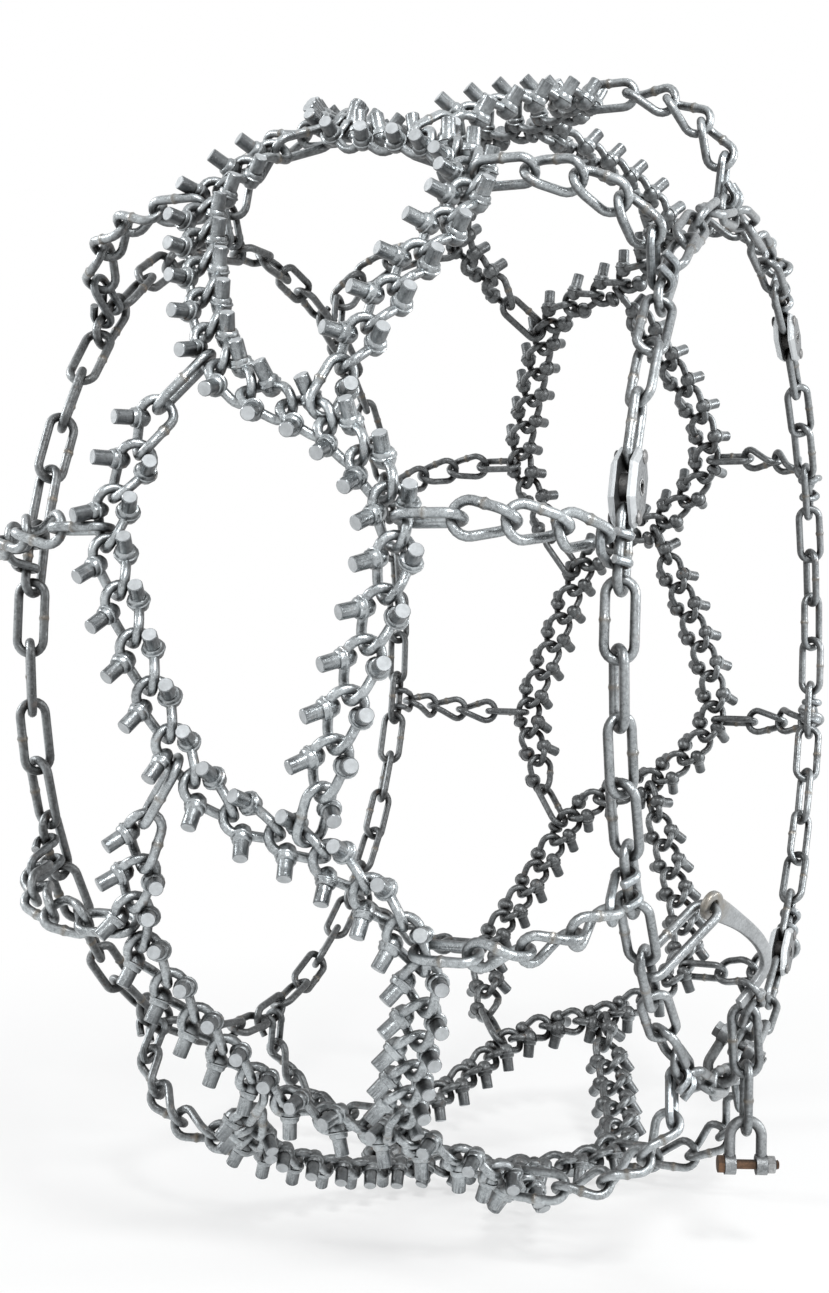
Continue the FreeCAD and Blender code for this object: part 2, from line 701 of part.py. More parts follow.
def fastener():
    """All pieces of the lever fastener and of the surplus end, by name."""
    pieces = {}
    leg_radius = SIDE_RADIUS - SIDE_HALF_WIDTH
    # Long link from the side chain to the lever's eye
    hooked = side_point(LEVER_SLOT, OUTER_PHASE, -1.0, leg_radius)
    eye = side_point(LEVER_SLOT, OUTER_PHASE, -1.0, EYE_RADIUS, EYE_LIFT)
    inwards = (eye - hooked).normalize()
    start = hooked - inwards * (SIDE_GAP / 2.0)
    end = eye - inwards * (SIDE_GAP / 2.0)
    side_normal = inwards.cross(ACROSS)
    shape = plain_link((end - start).Length, SIDE_HALF_WIDTH, SIDE_WIRE, SIDE_SLACK)
    pieces["fastener_long_link"] = [link_between(shape, start, end, side_normal)]
    # Lever, and the ring that holds its toe
    outwards = inwards.cross(side_normal).normalize()
    if outwards.y > 0.0:
        outwards = outwards * -1.0
    heading = turned_about(outwards, -LEVER_TURN, inwards)
    shape, keeper_angle = lever()
    pieces["fastener_lever"] = [set_frame(shape, eye, heading, outwards)]
    reach = turned_about(outwards, keeper_angle, heading)
    crown = KEEPER_HALF_WIDTH - KEEPER_WIRE / 2.0
    bulge = crown - math.sqrt(crown ** 2 - (LEVER_THICK / 2.0) ** 2)
    near = LEVER_REACH - LEVER_WIDTH / 2.0 - bulge - KEEPER_GAP - KEEPER_WIRE / 2.0
    link_crown = LEVER_REACH + LEVER_WIDTH / 2.0 + KEEPER_GAP + WIRE / 2.0
    far = link_crown + WIRE / 2.0 + KEEPER_GAP + KEEPER_WIRE / 2.0
    shape = plain_link(far - near - KEEPER_WIRE, KEEPER_HALF_WIDTH, KEEPER_WIRE, 0.0)
    middle = eye + reach * ((near + far) / 2.0)
    pieces["keeper_ring"] = [set_frame(shape, middle, reach, reach.cross(outwards))]
    # Shackle on the side chain
    leg = side_point(SHACKLE_SLOT, OUTER_PHASE, -1.0, leg_radius)
    bolt = side_point(SHACKLE_SLOT, OUTER_PHASE, -1.0, SHACKLE_RADIUS, SHACKLE_LIFT)
    outward_run = (leg - bolt).normalize()
    length = (leg - bolt).Length + (SIDE_WIRE + SHACKLE_WIRE) / 2.0 + SEAT_GAP
    bow_normal = outward_run.cross(ACROSS)
    bolt_axis = bow_normal.cross(outward_run)
    pieces["shackle_bow"] = [set_frame(shackle(length), bolt, outward_run, bow_normal)]
    for name, piece in zip(("shackle_bolt", "shackle_nut"), bolt_and_nut()):
        pieces[name] = [set_frame(piece, bolt, outward_run, bow_normal)]
    # Links between the ring and the shackle's bolt
    first = eye + reach * (link_crown + LINK_GAP / 2.0)
    run = (bolt - first).normalize()
    last = bolt + run * ((BOLT_DIAMETER + WIRE) / 2.0 + SEAT_GAP - LINK_GAP / 2.0)
    step = (last - first) * (1.0 / FASTENER_LINKS)
    shape = plain_link(step.Length, PLAIN_HALF_WIDTH, WIRE)
    if bolt_axis.dot(outwards) < 0.0:
        bolt_axis = bolt_axis * -1.0
    chain = []
    for number in range(FASTENER_LINKS):
        share = number / (FASTENER_LINKS - 1.0)
        normal = outwards * (1.0 - share) + bolt_axis * share
        roll = 90.0 * (number % 2)
        begin = first + step * number
        chain.append(link_between(shape, begin, begin + step, normal, roll))
    pieces["fastener_links"] = chain
    # Surplus end: it hangs from the first of those links
    _, up, _ = axes_of(step, outwards)
    held = first + step * 0.5 - up * PLAIN_HALF_WIDTH
    lean = Vector(0, -sind(TAIL_LEAN), -cosd(TAIL_LEAN))
    slant = math.sqrt(1.0 - lean.dot(run) ** 2)
    begin = held - lean * (LINK_GAP / slant - LINK_GAP / 2.0)
    after = begin + lean * TAIL_PITCH
    shape = plain_link(TAIL_PITCH, SIDE_HALF_WIDTH, SIDE_WIRE, SIDE_SLACK)
    pieces["tail_link_1"] = [link_between(shape, begin, after, run)]
    plumb = Vector(0, 0, -1)
    below = after + plumb * TAIL_PITCH
    first_across = axes_of(lean, run)[1]
    second_across = axes_of(plumb, first_across)[1]
    pieces["tail_link_2"] = [link_between(shape, after, below, first_across)]
    crown_at = below - plumb * (LINK_GAP / 2.0) + plumb * (WIRE - SHACKLE_WIRE) / 2.0
    tail_bolt = crown_at + plumb * TAIL_SHACKLE_LENGTH
    bow = shackle(TAIL_SHACKLE_LENGTH)
    pieces["tail_shackle_bow"] = [set_frame(bow, tail_bolt, plumb * -1.0, second_across)]
    for name, piece in zip(("tail_shackle_bolt", "tail_shackle_nut"), bolt_and_nut()):
        pieces[name] = [set_frame(piece, tail_bolt, plumb * -1.0, second_across)]
    pivots = {"lever": (eye, outwards), "tail_1": (held, run),
              "tail_2": (after + lean * (LINK_GAP / 2.0), first_across),
              "tail_shackle": (below + plumb * (LINK_GAP / 2.0), second_across)}
    return pieces, pivots


# ---------------------------------------------------------------- build the net

strand_links, strand_studs = strand()
for number in range(STRANDS):
    label = "%02d" % (number + 1)
    save("strand_" + label + "_links", [round_the_wheel(link, -number) for link in strand_links])
    save("strand_" + label + "_studs", [round_the_wheel(piece, -number) for piece in strand_studs])

first_connector = connector()
save("net_connectors", [round_the_wheel(first_connector, -number) for number in range(STRANDS)])

outer_end, outer_twisted, outer_hook, OUTER_PHASE = arm(
    leg_spot(RIGHT_VERTEX, 1.0, OUTER_ARM_HOOK_SPOT), True)
inner_end, inner_twisted, inner_hook, INNER_PHASE = arm(
    leg_spot(0, -1.0, INNER_ARM_HOOK_SPOT), False)
for label, end_link, twisted, wire_hook in (("outer", outer_end, outer_twisted, outer_hook),
                                            ("inner", inner_end, inner_twisted, inner_hook)):
    turns = range(STRANDS)
    save(label + "_arm_end_links", [round_the_wheel(end_link, -number) for number in turns])
    save(label + "_arm_links", [round_the_wheel(link, -number) for number in turns for link in twisted])
    save(label + "_hooks", [round_the_wheel(wire_hook, -number) for number in turns])

HOOK_SLOTS = [SIDE_LINKS_PER_STRAND * number for number in range(STRANDS)]
save("inner_side_chain", side_chain(INNER_PHASE, 1.0, HOOK_SLOTS, []))
flat = sorted(HOOK_SLOTS + [slot + 1 for slot in CAM_SLOTS] + [LEVER_SLOT, SHACKLE_SLOT])
save("outer_side_chain", side_chain(OUTER_PHASE, -1.0, flat, CAM_SLOTS))

cam_plates, cam_pins, cam_drums = cams()
save("cam_plates", cam_plates)
save("cam_pins", cam_pins)
for number, drum in enumerate(cam_drums):
    save("cam_%d_drum" % (number + 1), [drum])

fastener_pieces, fastener_pivots = fastener()
for name, solids in fastener_pieces.items():
    save(name, solids)
for number, slot in enumerate(CAM_SLOTS):
    fastener_pivots["cam_%d" % (number + 1)] = (cam_frame(slot, OUTER_PHASE, -1.0)[0], Vector(0, -1, 0))
for name, (place, axis) in fastener_pivots.items():
    print("%-14s at %.4f %.4f %.4f  axis %.6f %.6f %.6f" % ((name,) + tuple(place) + tuple(axis)))
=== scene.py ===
# %% [markdown]
# # A studded snow chain, dressed for its picture
#
# The chain is a round net of welded links between two side chains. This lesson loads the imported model,
# which says where every part is, and gives each part its real skin: bent wire with weld beads, studs on
# rounded collars, sheared hook ends, a forged lever, bolts with threads, and steel with grain and grime.
# Almost every shape is a grid of points worked out with numpy, because the same few shapes are repeated
# hundreds of times: a modifier for each of them would be slow, and a copy by hand would never be exact.

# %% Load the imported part
import math

import bmesh
import bpy
import numpy as np
from mathutils import Matrix, Vector


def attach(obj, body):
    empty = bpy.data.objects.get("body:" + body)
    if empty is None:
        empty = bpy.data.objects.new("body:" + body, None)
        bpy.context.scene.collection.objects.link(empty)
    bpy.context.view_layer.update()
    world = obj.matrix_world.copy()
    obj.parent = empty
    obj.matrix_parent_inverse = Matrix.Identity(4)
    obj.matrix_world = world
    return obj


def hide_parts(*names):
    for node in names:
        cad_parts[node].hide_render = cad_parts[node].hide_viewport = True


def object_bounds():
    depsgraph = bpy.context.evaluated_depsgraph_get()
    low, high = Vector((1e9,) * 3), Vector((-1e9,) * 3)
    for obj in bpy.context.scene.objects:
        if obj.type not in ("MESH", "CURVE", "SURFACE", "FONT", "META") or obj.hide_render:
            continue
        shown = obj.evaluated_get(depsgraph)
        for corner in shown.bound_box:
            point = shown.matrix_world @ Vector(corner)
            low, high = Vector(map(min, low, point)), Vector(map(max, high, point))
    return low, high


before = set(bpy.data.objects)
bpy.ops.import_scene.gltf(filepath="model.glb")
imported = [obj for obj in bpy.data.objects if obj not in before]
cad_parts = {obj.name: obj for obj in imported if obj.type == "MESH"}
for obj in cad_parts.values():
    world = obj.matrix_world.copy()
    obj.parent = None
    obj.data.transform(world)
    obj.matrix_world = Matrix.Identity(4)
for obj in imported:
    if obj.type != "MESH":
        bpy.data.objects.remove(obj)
cad_low, cad_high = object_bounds()

# %% [markdown]
# ## The camera
#
# The picture was taken from in front of the net and a little to its outer side, level with its centre.
# The place, the turns and the lens come from fitting the net, which repeats every 36 degrees. A camera
# could be aimed with a Track To constraint, but a matrix keeps the roll too. A camera looks down its own
# -Z with +Y up, so the three directions below become the columns of that matrix.

# %% Camera
MM = 0.001
POLE_GAP = 1e-6
IMAGE_WIDTH, IMAGE_HEIGHT = 829, 1293
EYE = np.array([-1.4337, -0.5248, -0.0142])
YAW, NOD, ROLL = 0.3868, 0.0076, 0.0172
FOCAL_PIXELS = 1830.0
SENSOR = 36.0
NEAREST, FARTHEST = 0.05, 60.0

ahead = np.array([math.cos(YAW) * math.cos(NOD), math.sin(YAW) * math.cos(NOD), math.sin(NOD)])
level_right = np.cross(ahead, [0.0, 0.0, 1.0])
level_right /= np.linalg.norm(level_right)
level_up = np.cross(level_right, ahead)
right = math.cos(ROLL) * level_right + math.sin(ROLL) * level_up
up = math.cos(ROLL) * level_up - math.sin(ROLL) * level_right

camera_data = bpy.data.cameras.new("camera")
camera_data.sensor_width = SENSOR
camera_data.lens = SENSOR * FOCAL_PIXELS / max(IMAGE_WIDTH, IMAGE_HEIGHT)
camera_data.clip_start, camera_data.clip_end = NEAREST, FARTHEST
camera = bpy.data.objects.new("camera", camera_data)
bpy.context.scene.collection.objects.link(camera)
columns = np.stack([right, up, -ahead], 1)
camera.matrix_world = Matrix([[*row, place] for row, place in zip(columns, EYE)] + [[0.0, 0.0, 0.0, 1.0]])
bpy.context.scene.camera = camera
print("camera lens", round(camera_data.lens, 1), "mm")

# %% [markdown]
# ## Shader maths as plain sums
#
# A finish is a sum of patterns, and sums are easier to read as Python than as a drawing of nodes. The
# class below wraps one output socket. Adding or multiplying two of them makes a Math node, and the
# reflected forms let a number stand on the left, as in 1 - mask. Every other node comes from one method.

# %% A socket that can be used in sums
class Pattern:
    """One output socket of a material, or just its node tree when there is no socket yet."""

    def __init__(self, tree, socket=None):
        self.tree = tree
        self.socket = socket

    def node(self, kind, sockets=None, settings=None, out=0):
        """Any node: its settings are set first, then the values or links of its sockets."""
        made = self.tree.nodes.new("ShaderNode" + kind)
        for key, value in (settings or {}).items():
            setattr(made, key, value)
        for key, value in (sockets or {}).items():
            if isinstance(value, Pattern):
                self.tree.links.new(value.socket, made.inputs[key])
            else:
                made.inputs[key].default_value = value
        return Pattern(self.tree, made.outputs[out])

    def sum(self, operation, first, second=0.0, clamp=False):
        return self.node("Math", {0: first, 1: second}, {"operation": operation, "use_clamp": clamp})

    def __add__(self, other):
        return self.sum("ADD", self, other)

    def __radd__(self, other):
        return self.sum("ADD", other, self)

    def __sub__(self, other):
        return self.sum("SUBTRACT", self, other)

    def __rsub__(self, other):
        return self.sum("SUBTRACT", other, self)

    def __mul__(self, other):
        return self.sum("MULTIPLY", self, other)

    def __rmul__(self, other):
        return self.sum("MULTIPLY", other, self)

    def __pow__(self, other):
        return self.sum("POWER", self, other)

    def clamped(self):
        return self.sum("ADD", self, 0.0, clamp=True)

    def ramp(self, low, high):
        """0 below low, 1 above high, and a smooth step between them."""
        return self.node("MapRange", {"Value": self, "From Min": low, "From Max": high},
                         {"interpolation_type": "SMOOTHSTEP"})

    def mix(self, first, second):
        """Colour between two colours, with this pattern as the share of the second."""
        return self.node("Mix", {0: self, 6: first, 7: second}, {"data_type": "RGBA"}, out=2)

    def noise(self, scale, detail=2.0, roughness=0.5):
        """Cloudy pattern from 0 to 1, with this pattern as its coordinates; scale is in lumps per metre."""
        return self.node("TexNoise", {"Vector": self, "Scale": scale, "Detail": detail,
                                      "Roughness": roughness})

    def cells(self, scale):
        """One level from 0 to 1 in each crystal of a field of crystals."""
        return self.node("TexVoronoi", {"Vector": self, "Scale": scale}, out="Color")


print("patterns can be added, taken away and multiplied")

# %% [markdown]
# ## Steel finishes
#
# Every piece of the chain is steel, yet no two finishes are alike. The links are zinc plated: fine
# crystals, cloudy patches and small dents from the bending. The colour is also darkened, as grime and
# painted shade where one link sits in the next, and as painted shade on the side that faces inwards. A
# picture of zinc could be wrapped round the wire, but it would need seams. So the finish is made from
# patterns that fill space. Four sizes of pattern on the object's own coordinates give the colour, the
# same ones give the gloss and the bump, and a mask that feels how closed in a place is brings grime and
# painted shade. Weld beads and rubbed places come with the surface, as attributes that are made with it.

# %% Zinc-plated steel
BUMP_DEPTH = 0.00035
HEART_RADIUS = 0.30
CLOUDS, LUMPS, CRYSTALS, FINE, RUST_SPOTS = 34.0, 260.0, 620.0, 1900.0, 95.0  # patterns in a metre
CLOSED_IN_REACH = 0.008


def colour(red, green, blue):
    """An opaque colour from its three parts, each from 0 to 1."""
    return (red, green, blue, 1.0)


# Dark colour of the grime and painted shade in closed-in places and of the painted shade on the inward side
GRIME_AND_SHADE = colour(0.022, 0.020, 0.019)
WELD_SCALE = colour(0.20, 0.17, 0.13)
RUST = colour(0.19, 0.105, 0.055)


def inner_side(start, place):
    """Near 1 where the surface faces inwards, 0 where it faces away: the mask of the painted shade there.

    It is the normal's share along the line to P from C, the nearest point of a ring of 0.3 m radius
    in the middle of the net: C = 0.3 (x, 0, z) / r.
    """
    def vector(operation, first, second=(0.0, 0.0, 0.0), out="Vector"):
        return start.node("VectorMath", {0: first, 1: second}, {"operation": operation}, out)

    radial = vector("NORMALIZE", vector("MULTIPLY", place, (1.0, 0.0, 1.0)))
    heart = vector("MULTIPLY", radial, (HEART_RADIUS,) * 3)
    outward = vector("NORMALIZE", vector("SUBTRACT", place, heart))
    facing = vector("DOT_PRODUCT", start.node("TexCoord", out="Normal"), outward, "Value")
    return 1.0 - facing.ramp(-0.40, 0.68)


def steel(name, dark, light, gloss, metal, grain=1.0, dents=1.0, grime_and_shade=0.85, rust=0.25, beads=False,
          local=None):
    """Steel between a dark and a light tone. gloss is the roughness of its smooth places.

    tone = 0.57 + 1.1 (clouds - 1/2) + grain (0.55 (crystals - 1/2) + fine - 1/2), and the roughness
    is gloss + 0.14 clouds + 0.12 fine + 0.18 g + 0.35 rusty, g being the mask of grime and painted shade
    in closed-in places and of painted shade on the inward side. local may change the tint by place:
    it gets the start, the coordinates and the tint, and gives a tint.
    """
    material = bpy.data.materials.new(name)
    material.use_nodes = True
    tree = material.node_tree
    shader = tree.nodes["Principled BSDF"]
    start = Pattern(tree)
    place = start.node("TexCoord", out="Object")
    clouds = place.noise(CLOUDS, 3.0)
    lumps = place.noise(LUMPS, 2.0)
    crystals = place.cells(CRYSTALS)
    fine = place.noise(FINE, 3.0, 0.6)
    openness = start.node("AmbientOcclusion", {"Distance": CLOSED_IN_REACH}, {"samples": 6}, out="AO")
    closed_in = 1.0 - openness

    tone = 0.57 + 1.1 * (clouds - 0.5) + 0.55 * (crystals - 0.5) * grain + 1.0 * (fine - 0.5) * grain
    tint = tone.clamped().mix(dark, light)
    # Grime and painted shade where the place is closed in, as the ambient occlusion finds it
    grime_and_shade_mask = ((closed_in ** 1.4) * grime_and_shade * (0.6 + 0.8 * lumps)).clamped()
    # Painted shade on the side that faces inwards
    under = inner_side(start, place) * grime_and_shade * (0.62 + 0.5 * lumps)
    grime_and_shade_mask = (grime_and_shade_mask + under).clamped()
    tint = grime_and_shade_mask.mix(tint, GRIME_AND_SHADE)
    rusty = place.noise(RUST_SPOTS, 4.0, 0.65).ramp(0.60, 0.74) * rust
    if beads:
        weld = start.node("Attribute", settings={"attribute_name": "bead"}, out="Fac")
        rubbed = start.node("Attribute", settings={"attribute_name": "rub"}, out="Fac")
        tint = (weld * (0.25 + 0.5 * lumps)).clamped().mix(tint, WELD_SCALE)
        tint = (rubbed * 0.5 * fine).mix(tint, light)
        rusty = (rusty + weld * 0.25 * rust).clamped()
    tint = rusty.mix(tint, RUST)
    if local:
        tint = local(start, place, tint)
    tree.links.new(tint.socket, shader.inputs["Base Color"])

    rough = gloss + 0.14 * clouds + 0.12 * fine + 0.18 * grime_and_shade_mask + 0.35 * rusty
    tree.links.new(rough.clamped().socket, shader.inputs["Roughness"])
    height = 0.45 * grain * fine + 0.25 * grain * crystals + 1.3 * dents * lumps
    bump = start.node("Bump", {"Height": height, "Strength": 0.75, "Distance": BUMP_DEPTH}, out="Normal")
    tree.links.new(bump.socket, shader.inputs["Normal"])
    shader.inputs["Metallic"].default_value = metal
    return material


print("the patterns have from", CLOUDS, "to", FINE, "lumps in a metre")

# %% [markdown]
# The same function gives every steel of the chain, so a finish is one line of numbers: a dark and a light
# tone, the gloss, and how much of it is metal. Links, side links and hooks are plated apart, and their
# tones differ a little. The pegs of the studs are drawn bar, with darker streaks along them, partly the
# lines of the drawing and partly painted dark reflections. Those streaks need coordinates that go round
# and along each peg, which the studs bring as a UV map.

# %% The steels of the chain
DULL_ZINC, BRIGHT_ZINC = colour(0.155, 0.166, 0.174), colour(0.600, 0.642, 0.662)
LINK_STEEL = steel("zinc_links", DULL_ZINC, BRIGHT_ZINC, 0.14, 0.96, beads=True)
SIDE_STEEL = steel("zinc_side_links", colour(0.130, 0.140, 0.146), colour(0.510, 0.543, 0.560), 0.17, 0.96,
                   beads=True)
HOOK_STEEL = steel("zinc_hook_wire", colour(0.140, 0.152, 0.161), colour(0.530, 0.575, 0.600), 0.17, 0.96,
                   beads=True)


def peg_streaks_and_reflections(start, place, tint):
    """Darker streaks along the pegs, from flat coordinates that go round and along the peg."""
    peg = start.node("Attribute", settings={"attribute_name": "peg"}, out="Fac")
    # The streaks are partly drawing lines and partly painted dark reflections
    streaks = start.node("UVMap", settings={"uv_map": "face"}).noise(800.0, 2.0).ramp(0.34, 0.66)
    return (peg * (0.15 + 0.75 * streaks)).clamped().mix(tint, colour(0.105, 0.114, 0.121))


STUD_STEEL = steel("zinc_studs", DULL_ZINC, BRIGHT_ZINC, 0.13, 0.96, grain=0.8, local=peg_streaks_and_reflections)
SHACKLE_STEEL = steel("plated_shackle", colour(0.135, 0.143, 0.148), colour(0.44, 0.462, 0.474), 0.28, 0.9,
                      dents=1.3, rust=0.2)
RUSTY_STEEL = steel("rusty_bolt", colour(0.07, 0.045, 0.03), colour(0.24, 0.13, 0.07), 0.55, 0.35,
                    dents=1.6, rust=0.9)
PALE_STEEL = steel("pale_plating", colour(0.27, 0.275, 0.275), colour(0.60, 0.615, 0.62), 0.28, 0.85,
                   rust=0.3)
print("made", len(bpy.data.materials), "materials so far")

# %% [markdown]
# A sawn stud face and a sheared hook end are cut metal without a coat. The saw lines could be a bump on
# the object's coordinates, but then they would run the same way on every stud. So the face gets its own
# flat coordinates, turned differently on every stud. A sheared end tears halfway through and comes out
# granular.

# %% Cut faces
WAVE_SCALE = 0.314  # a wave texture of this scale has about one line in a unit of length


def cut_face(name, dark, light, line_pitch, tear):
    """Bare cut metal: saw lines a pitch apart, and torn grains where tear is large."""
    material = bpy.data.materials.new(name)
    material.use_nodes = True
    tree = material.node_tree
    shader = tree.nodes["Principled BSDF"]
    start = Pattern(tree)
    flat = start.node("UVMap", settings={"uv_map": "face"})
    place = start.node("TexCoord", out="Object")
    waves = {"Vector": flat, "Scale": WAVE_SCALE / line_pitch, "Distortion": 2.5, "Detail": 2.0}
    lines = start.node("TexWave", waves, {"wave_type": "BANDS", "bands_direction": "X"}, out="Fac")
    torn = place.noise(1500.0, 4.0, 0.7)
    clouds = place.noise(240.0, 3.0)
    tone = 0.5 + 0.30 * (1.0 - tear) * (lines - 0.5) + (0.5 + tear) * (torn - 0.5) + 1.0 * (clouds - 0.5)
    tree.links.new(tone.clamped().mix(dark, light).socket, shader.inputs["Base Color"])
    rough = 0.42 + 0.25 * torn
    tree.links.new(rough.socket, shader.inputs["Roughness"])
    height = 0.5 * (1.0 - tear) * lines + (0.5 + 1.5 * tear) * torn
    bump = start.node("Bump", {"Height": height, "Strength": 0.8, "Distance": 0.0003}, out="Normal")
    tree.links.new(bump.socket, shader.inputs["Normal"])
    shader.inputs["Metallic"].default_value = 0.55
    return material


SAWN_FACE = cut_face("sawn_face", colour(0.35, 0.37, 0.38), colour(0.64, 0.67, 0.69), 0.0006, 0.2)
SHEARED_FACE = cut_face("sheared_face", colour(0.34, 0.35, 0.355), colour(0.68, 0.70, 0.71), 0.0012, 0.9)
print("cut faces:", SAWN_FACE.name, SHEARED_FACE.name)

# %% [markdown]
# ## Surfaces from whole arrays
#
# A wire is one outline carried along a path, and a stud is one outline turned round its axis. A curve
# with a bevel could be the wire, but it can't swell at a weld or carry a mask. Both are grids of points
# instead: rows along the path, columns round the section. The grid is worked out once in the link's own
# frame, then every copy is one matrix product away, so no loop ever visits a single point.

# %% Meshes from arrays
def grid_faces(copies, rows, columns, closed):
    """Four-sided faces of a stack of grids, closed round the columns and, if asked, along the rows.

    Corner of row r and column c is number r * columns + c, plus rows * columns for each copy before it.
    """
    row = np.arange(rows if closed else rows - 1)[:, None]
    column = np.arange(columns)[None, :]
    after_row, after_column = (row + 1) % rows, (column + 1) % columns
    corners = np.stack([row * columns + column, row * columns + after_column,
                        after_row * columns + after_column, after_row * columns + column], -1)
    offsets = np.arange(copies)[:, None, None] * (rows * columns)
    return (corners.reshape(1, -1, 4) + offsets).reshape(-1, 4)


class Stack:
    """Grids of points in millimetres that will become one piece."""

    def __init__(self):
        self.points, self.faces, self.finishes, self.fields, self.flats, self.count = [], [], [], {}, [], 0

    def add(self, grid, closed=True, finish_of_row=0, flat=None, **fields):
        """Adds grids (copies, rows, columns, 3); finish_of_row is a number, or one for each row of faces."""
        grid = grid if grid.ndim == 4 else grid[None]
        copies, rows, columns = grid.shape[:3]
        face_rows = rows if closed else rows - 1
        self.faces.append(grid_faces(copies, rows, columns, closed) + self.count)
        self.points.append(grid.reshape(-1, 3))
        each = np.broadcast_to(finish_of_row, face_rows)
        self.finishes.append(np.tile(np.repeat(each, columns), copies))
        self.flats.append(np.zeros((copies * rows * columns, 2)) if flat is None else flat.reshape(-1, 2))
        for key, values in fields.items():
            self.fields.setdefault(key, []).append(np.broadcast_to(values, grid.shape[:3]).ravel())
        self.count += copies * rows * columns
        return self

    def piece(self, name, finishes, sharp=35.0, poles=False):
        """One object with smooth faces, sharp where two of them meet at more than an angle."""
        points, faces = np.concatenate(self.points), np.concatenate(self.faces)
        mesh = bpy.data.meshes.new(name)
        mesh.vertices.add(len(points))
        mesh.vertices.foreach_set("co", (points * MM).astype(np.float32).ravel())
        mesh.loops.add(faces.size)
        mesh.loops.foreach_set("vertex_index", faces.astype(np.int32).ravel())
        mesh.polygons.add(len(faces))
        mesh.polygons.foreach_set("loop_start", np.arange(0, faces.size, 4, dtype=np.int32))
        for finish in finishes:
            mesh.materials.append(finish)
        mesh.polygons.foreach_set("material_index", np.concatenate(self.finishes).astype(np.int32))
        mesh.update(calc_edges=True)
        mesh.polygons.foreach_set("use_smooth", np.ones(len(faces), dtype=bool))
        for key, values in self.fields.items():
            field = mesh.attributes.new(key, "FLOAT", "POINT")
            field.data.foreach_set("value", np.concatenate(values).astype(np.float32))
        flat = np.concatenate(self.flats)
        if flat.any():
            flat = (flat[faces.ravel()] * MM).astype(np.float32)
            mesh.uv_layers.new(name="face").data.foreach_set("uv", flat.ravel())
        if poles:
            work = bmesh.new()
            work.from_mesh(mesh)
            bmesh.ops.remove_doubles(work, verts=work.verts, dist=POLE_GAP)
            work.to_mesh(mesh)
            work.free()
        mesh.set_sharp_from_angle(angle=math.radians(sharp))
        piece = bpy.data.objects.new(name, mesh)
        bpy.context.scene.collection.objects.link(piece)
        return piece


def dress(piece, body, nodes=()):
    """The piece moves with a body and stands for CAD nodes, which are hidden."""
    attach(piece, body)
    if nodes:
        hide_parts(*nodes)
    print(piece.name, "has", len(piece.data.polygons), "faces")
    return piece


print("a tube of 3 by 4 points has", len(grid_faces(1, 3, 4, False)), "faces")

# %% [markdown]
# ## Frames of copies
#
# A link lies along its own x, and its place in the chain is a frame: an origin and three axes. Blender
# could keep such a frame as an object's matrix, but one object for each of 800 links and studs would be
# slow, and the frame of a finished piece has to stay at the origin. So the frames are arrays, and the
# points go through them before they become a mesh. The whole net is one strand, turned ten times.

# %% Frames
def unit(vectors):
    """Vectors over their own lengths: V / |V|."""
    return vectors / np.linalg.norm(vectors, axis=-1, keepdims=True)


def placed(points, frames):
    """Copies of local points, one for each frame of origins and axes: origin + P . axes."""
    origins, axes = frames
    flat = np.einsum("ni,cij->cnj", points.reshape(-1, 3), axes) + origins[:, None]
    return flat.reshape((len(origins),) + points.shape)


def link_frames(starts, ends, normals, rolls=0.0):
    """Frame of each link: x from joint to joint, z towards the normal, both turned by a roll round x."""
    starts, ends, normals = (np.atleast_2d(np.asarray(each, float)) for each in (starts, ends, normals))
    roll = np.broadcast_to(np.radians(rolls), len(starts))[:, None]
    x = unit(ends - starts)
    z = unit(normals - x * np.sum(normals * x, 1, keepdims=True))
    y = np.cross(z, x)
    return (starts + ends) / 2.0, np.stack([x, y * np.cos(roll) + z * np.sin(roll),
                                            z * np.cos(roll) - y * np.sin(roll)], 1)


def frame_of(origin, x, z):
    """One frame from its origin, its x direction and a direction near its z."""
    x = unit(np.asarray(x, float))
    z = unit(np.asarray(z, float) - x * (x @ np.asarray(z, float)))
    return np.asarray(origin, float)[None], np.stack([x, np.cross(z, x), z])[None]


def axis_turn(degrees):
    """Matrix M with which P . M turns a point round the axis Y, up the front of the net."""
    c, s = math.cos(math.radians(degrees)), math.sin(math.radians(degrees))
    return np.array([[c, 0.0, -s], [0.0, 1.0, 0.0], [s, 0.0, c]])


STRANDS = 10


def round_the_axis(frames, numbers=range(STRANDS)):
    """The frames of one strand, repeated at every strand in numbers."""
    turns = [axis_turn(-360.0 / STRANDS * number) for number in numbers]
    return (np.concatenate([frames[0] @ turn for turn in turns]),
            np.concatenate([frames[1] @ turn for turn in turns]))


def only(frames, chosen):
    """The chosen ones of some frames."""
    return frames[0][chosen], frames[1][chosen]


print("turning (1, 0, 0) by 90 degrees gives", np.round(np.array([1.0, 0, 0]) @ axis_turn(90.0), 3))

# %% [markdown]
# ## Bent wire
#
# A link starts as a cut length of round wire, is bent into an oval, twisted so that its ends cross, and
# butt-welded in the middle of one leg, where the weld leaves a rough ring. Any oval would look like a
# link from afar, but only the true path fits through its neighbours: two straight legs, and four arcs
# that leave a leg along its own line and meet at the ends. The skin is a circle carried along that path,
# a little larger at the weld. Two attributes go with it: bead is 1 on the weld, and rub is 1 inside the
# bends, where one link pulls on the next.

# %% Paths and skins of wire
WIRE_SIDES = 12
ARC_STEPS = 6
WELD_STATIONS = np.array([-2.4, -1.2, 0.0, 1.2, 2.4])
WELD_WIDTH, BEAD_HEIGHT = 1.5, 0.7
RUB_REACH = 0.6
BEND_SHARES = (-1.0, -0.6, 0.6)
RIPPLE, RIPPLE_STEP, RIPPLE_START = 0.35, 2.4, 1.0


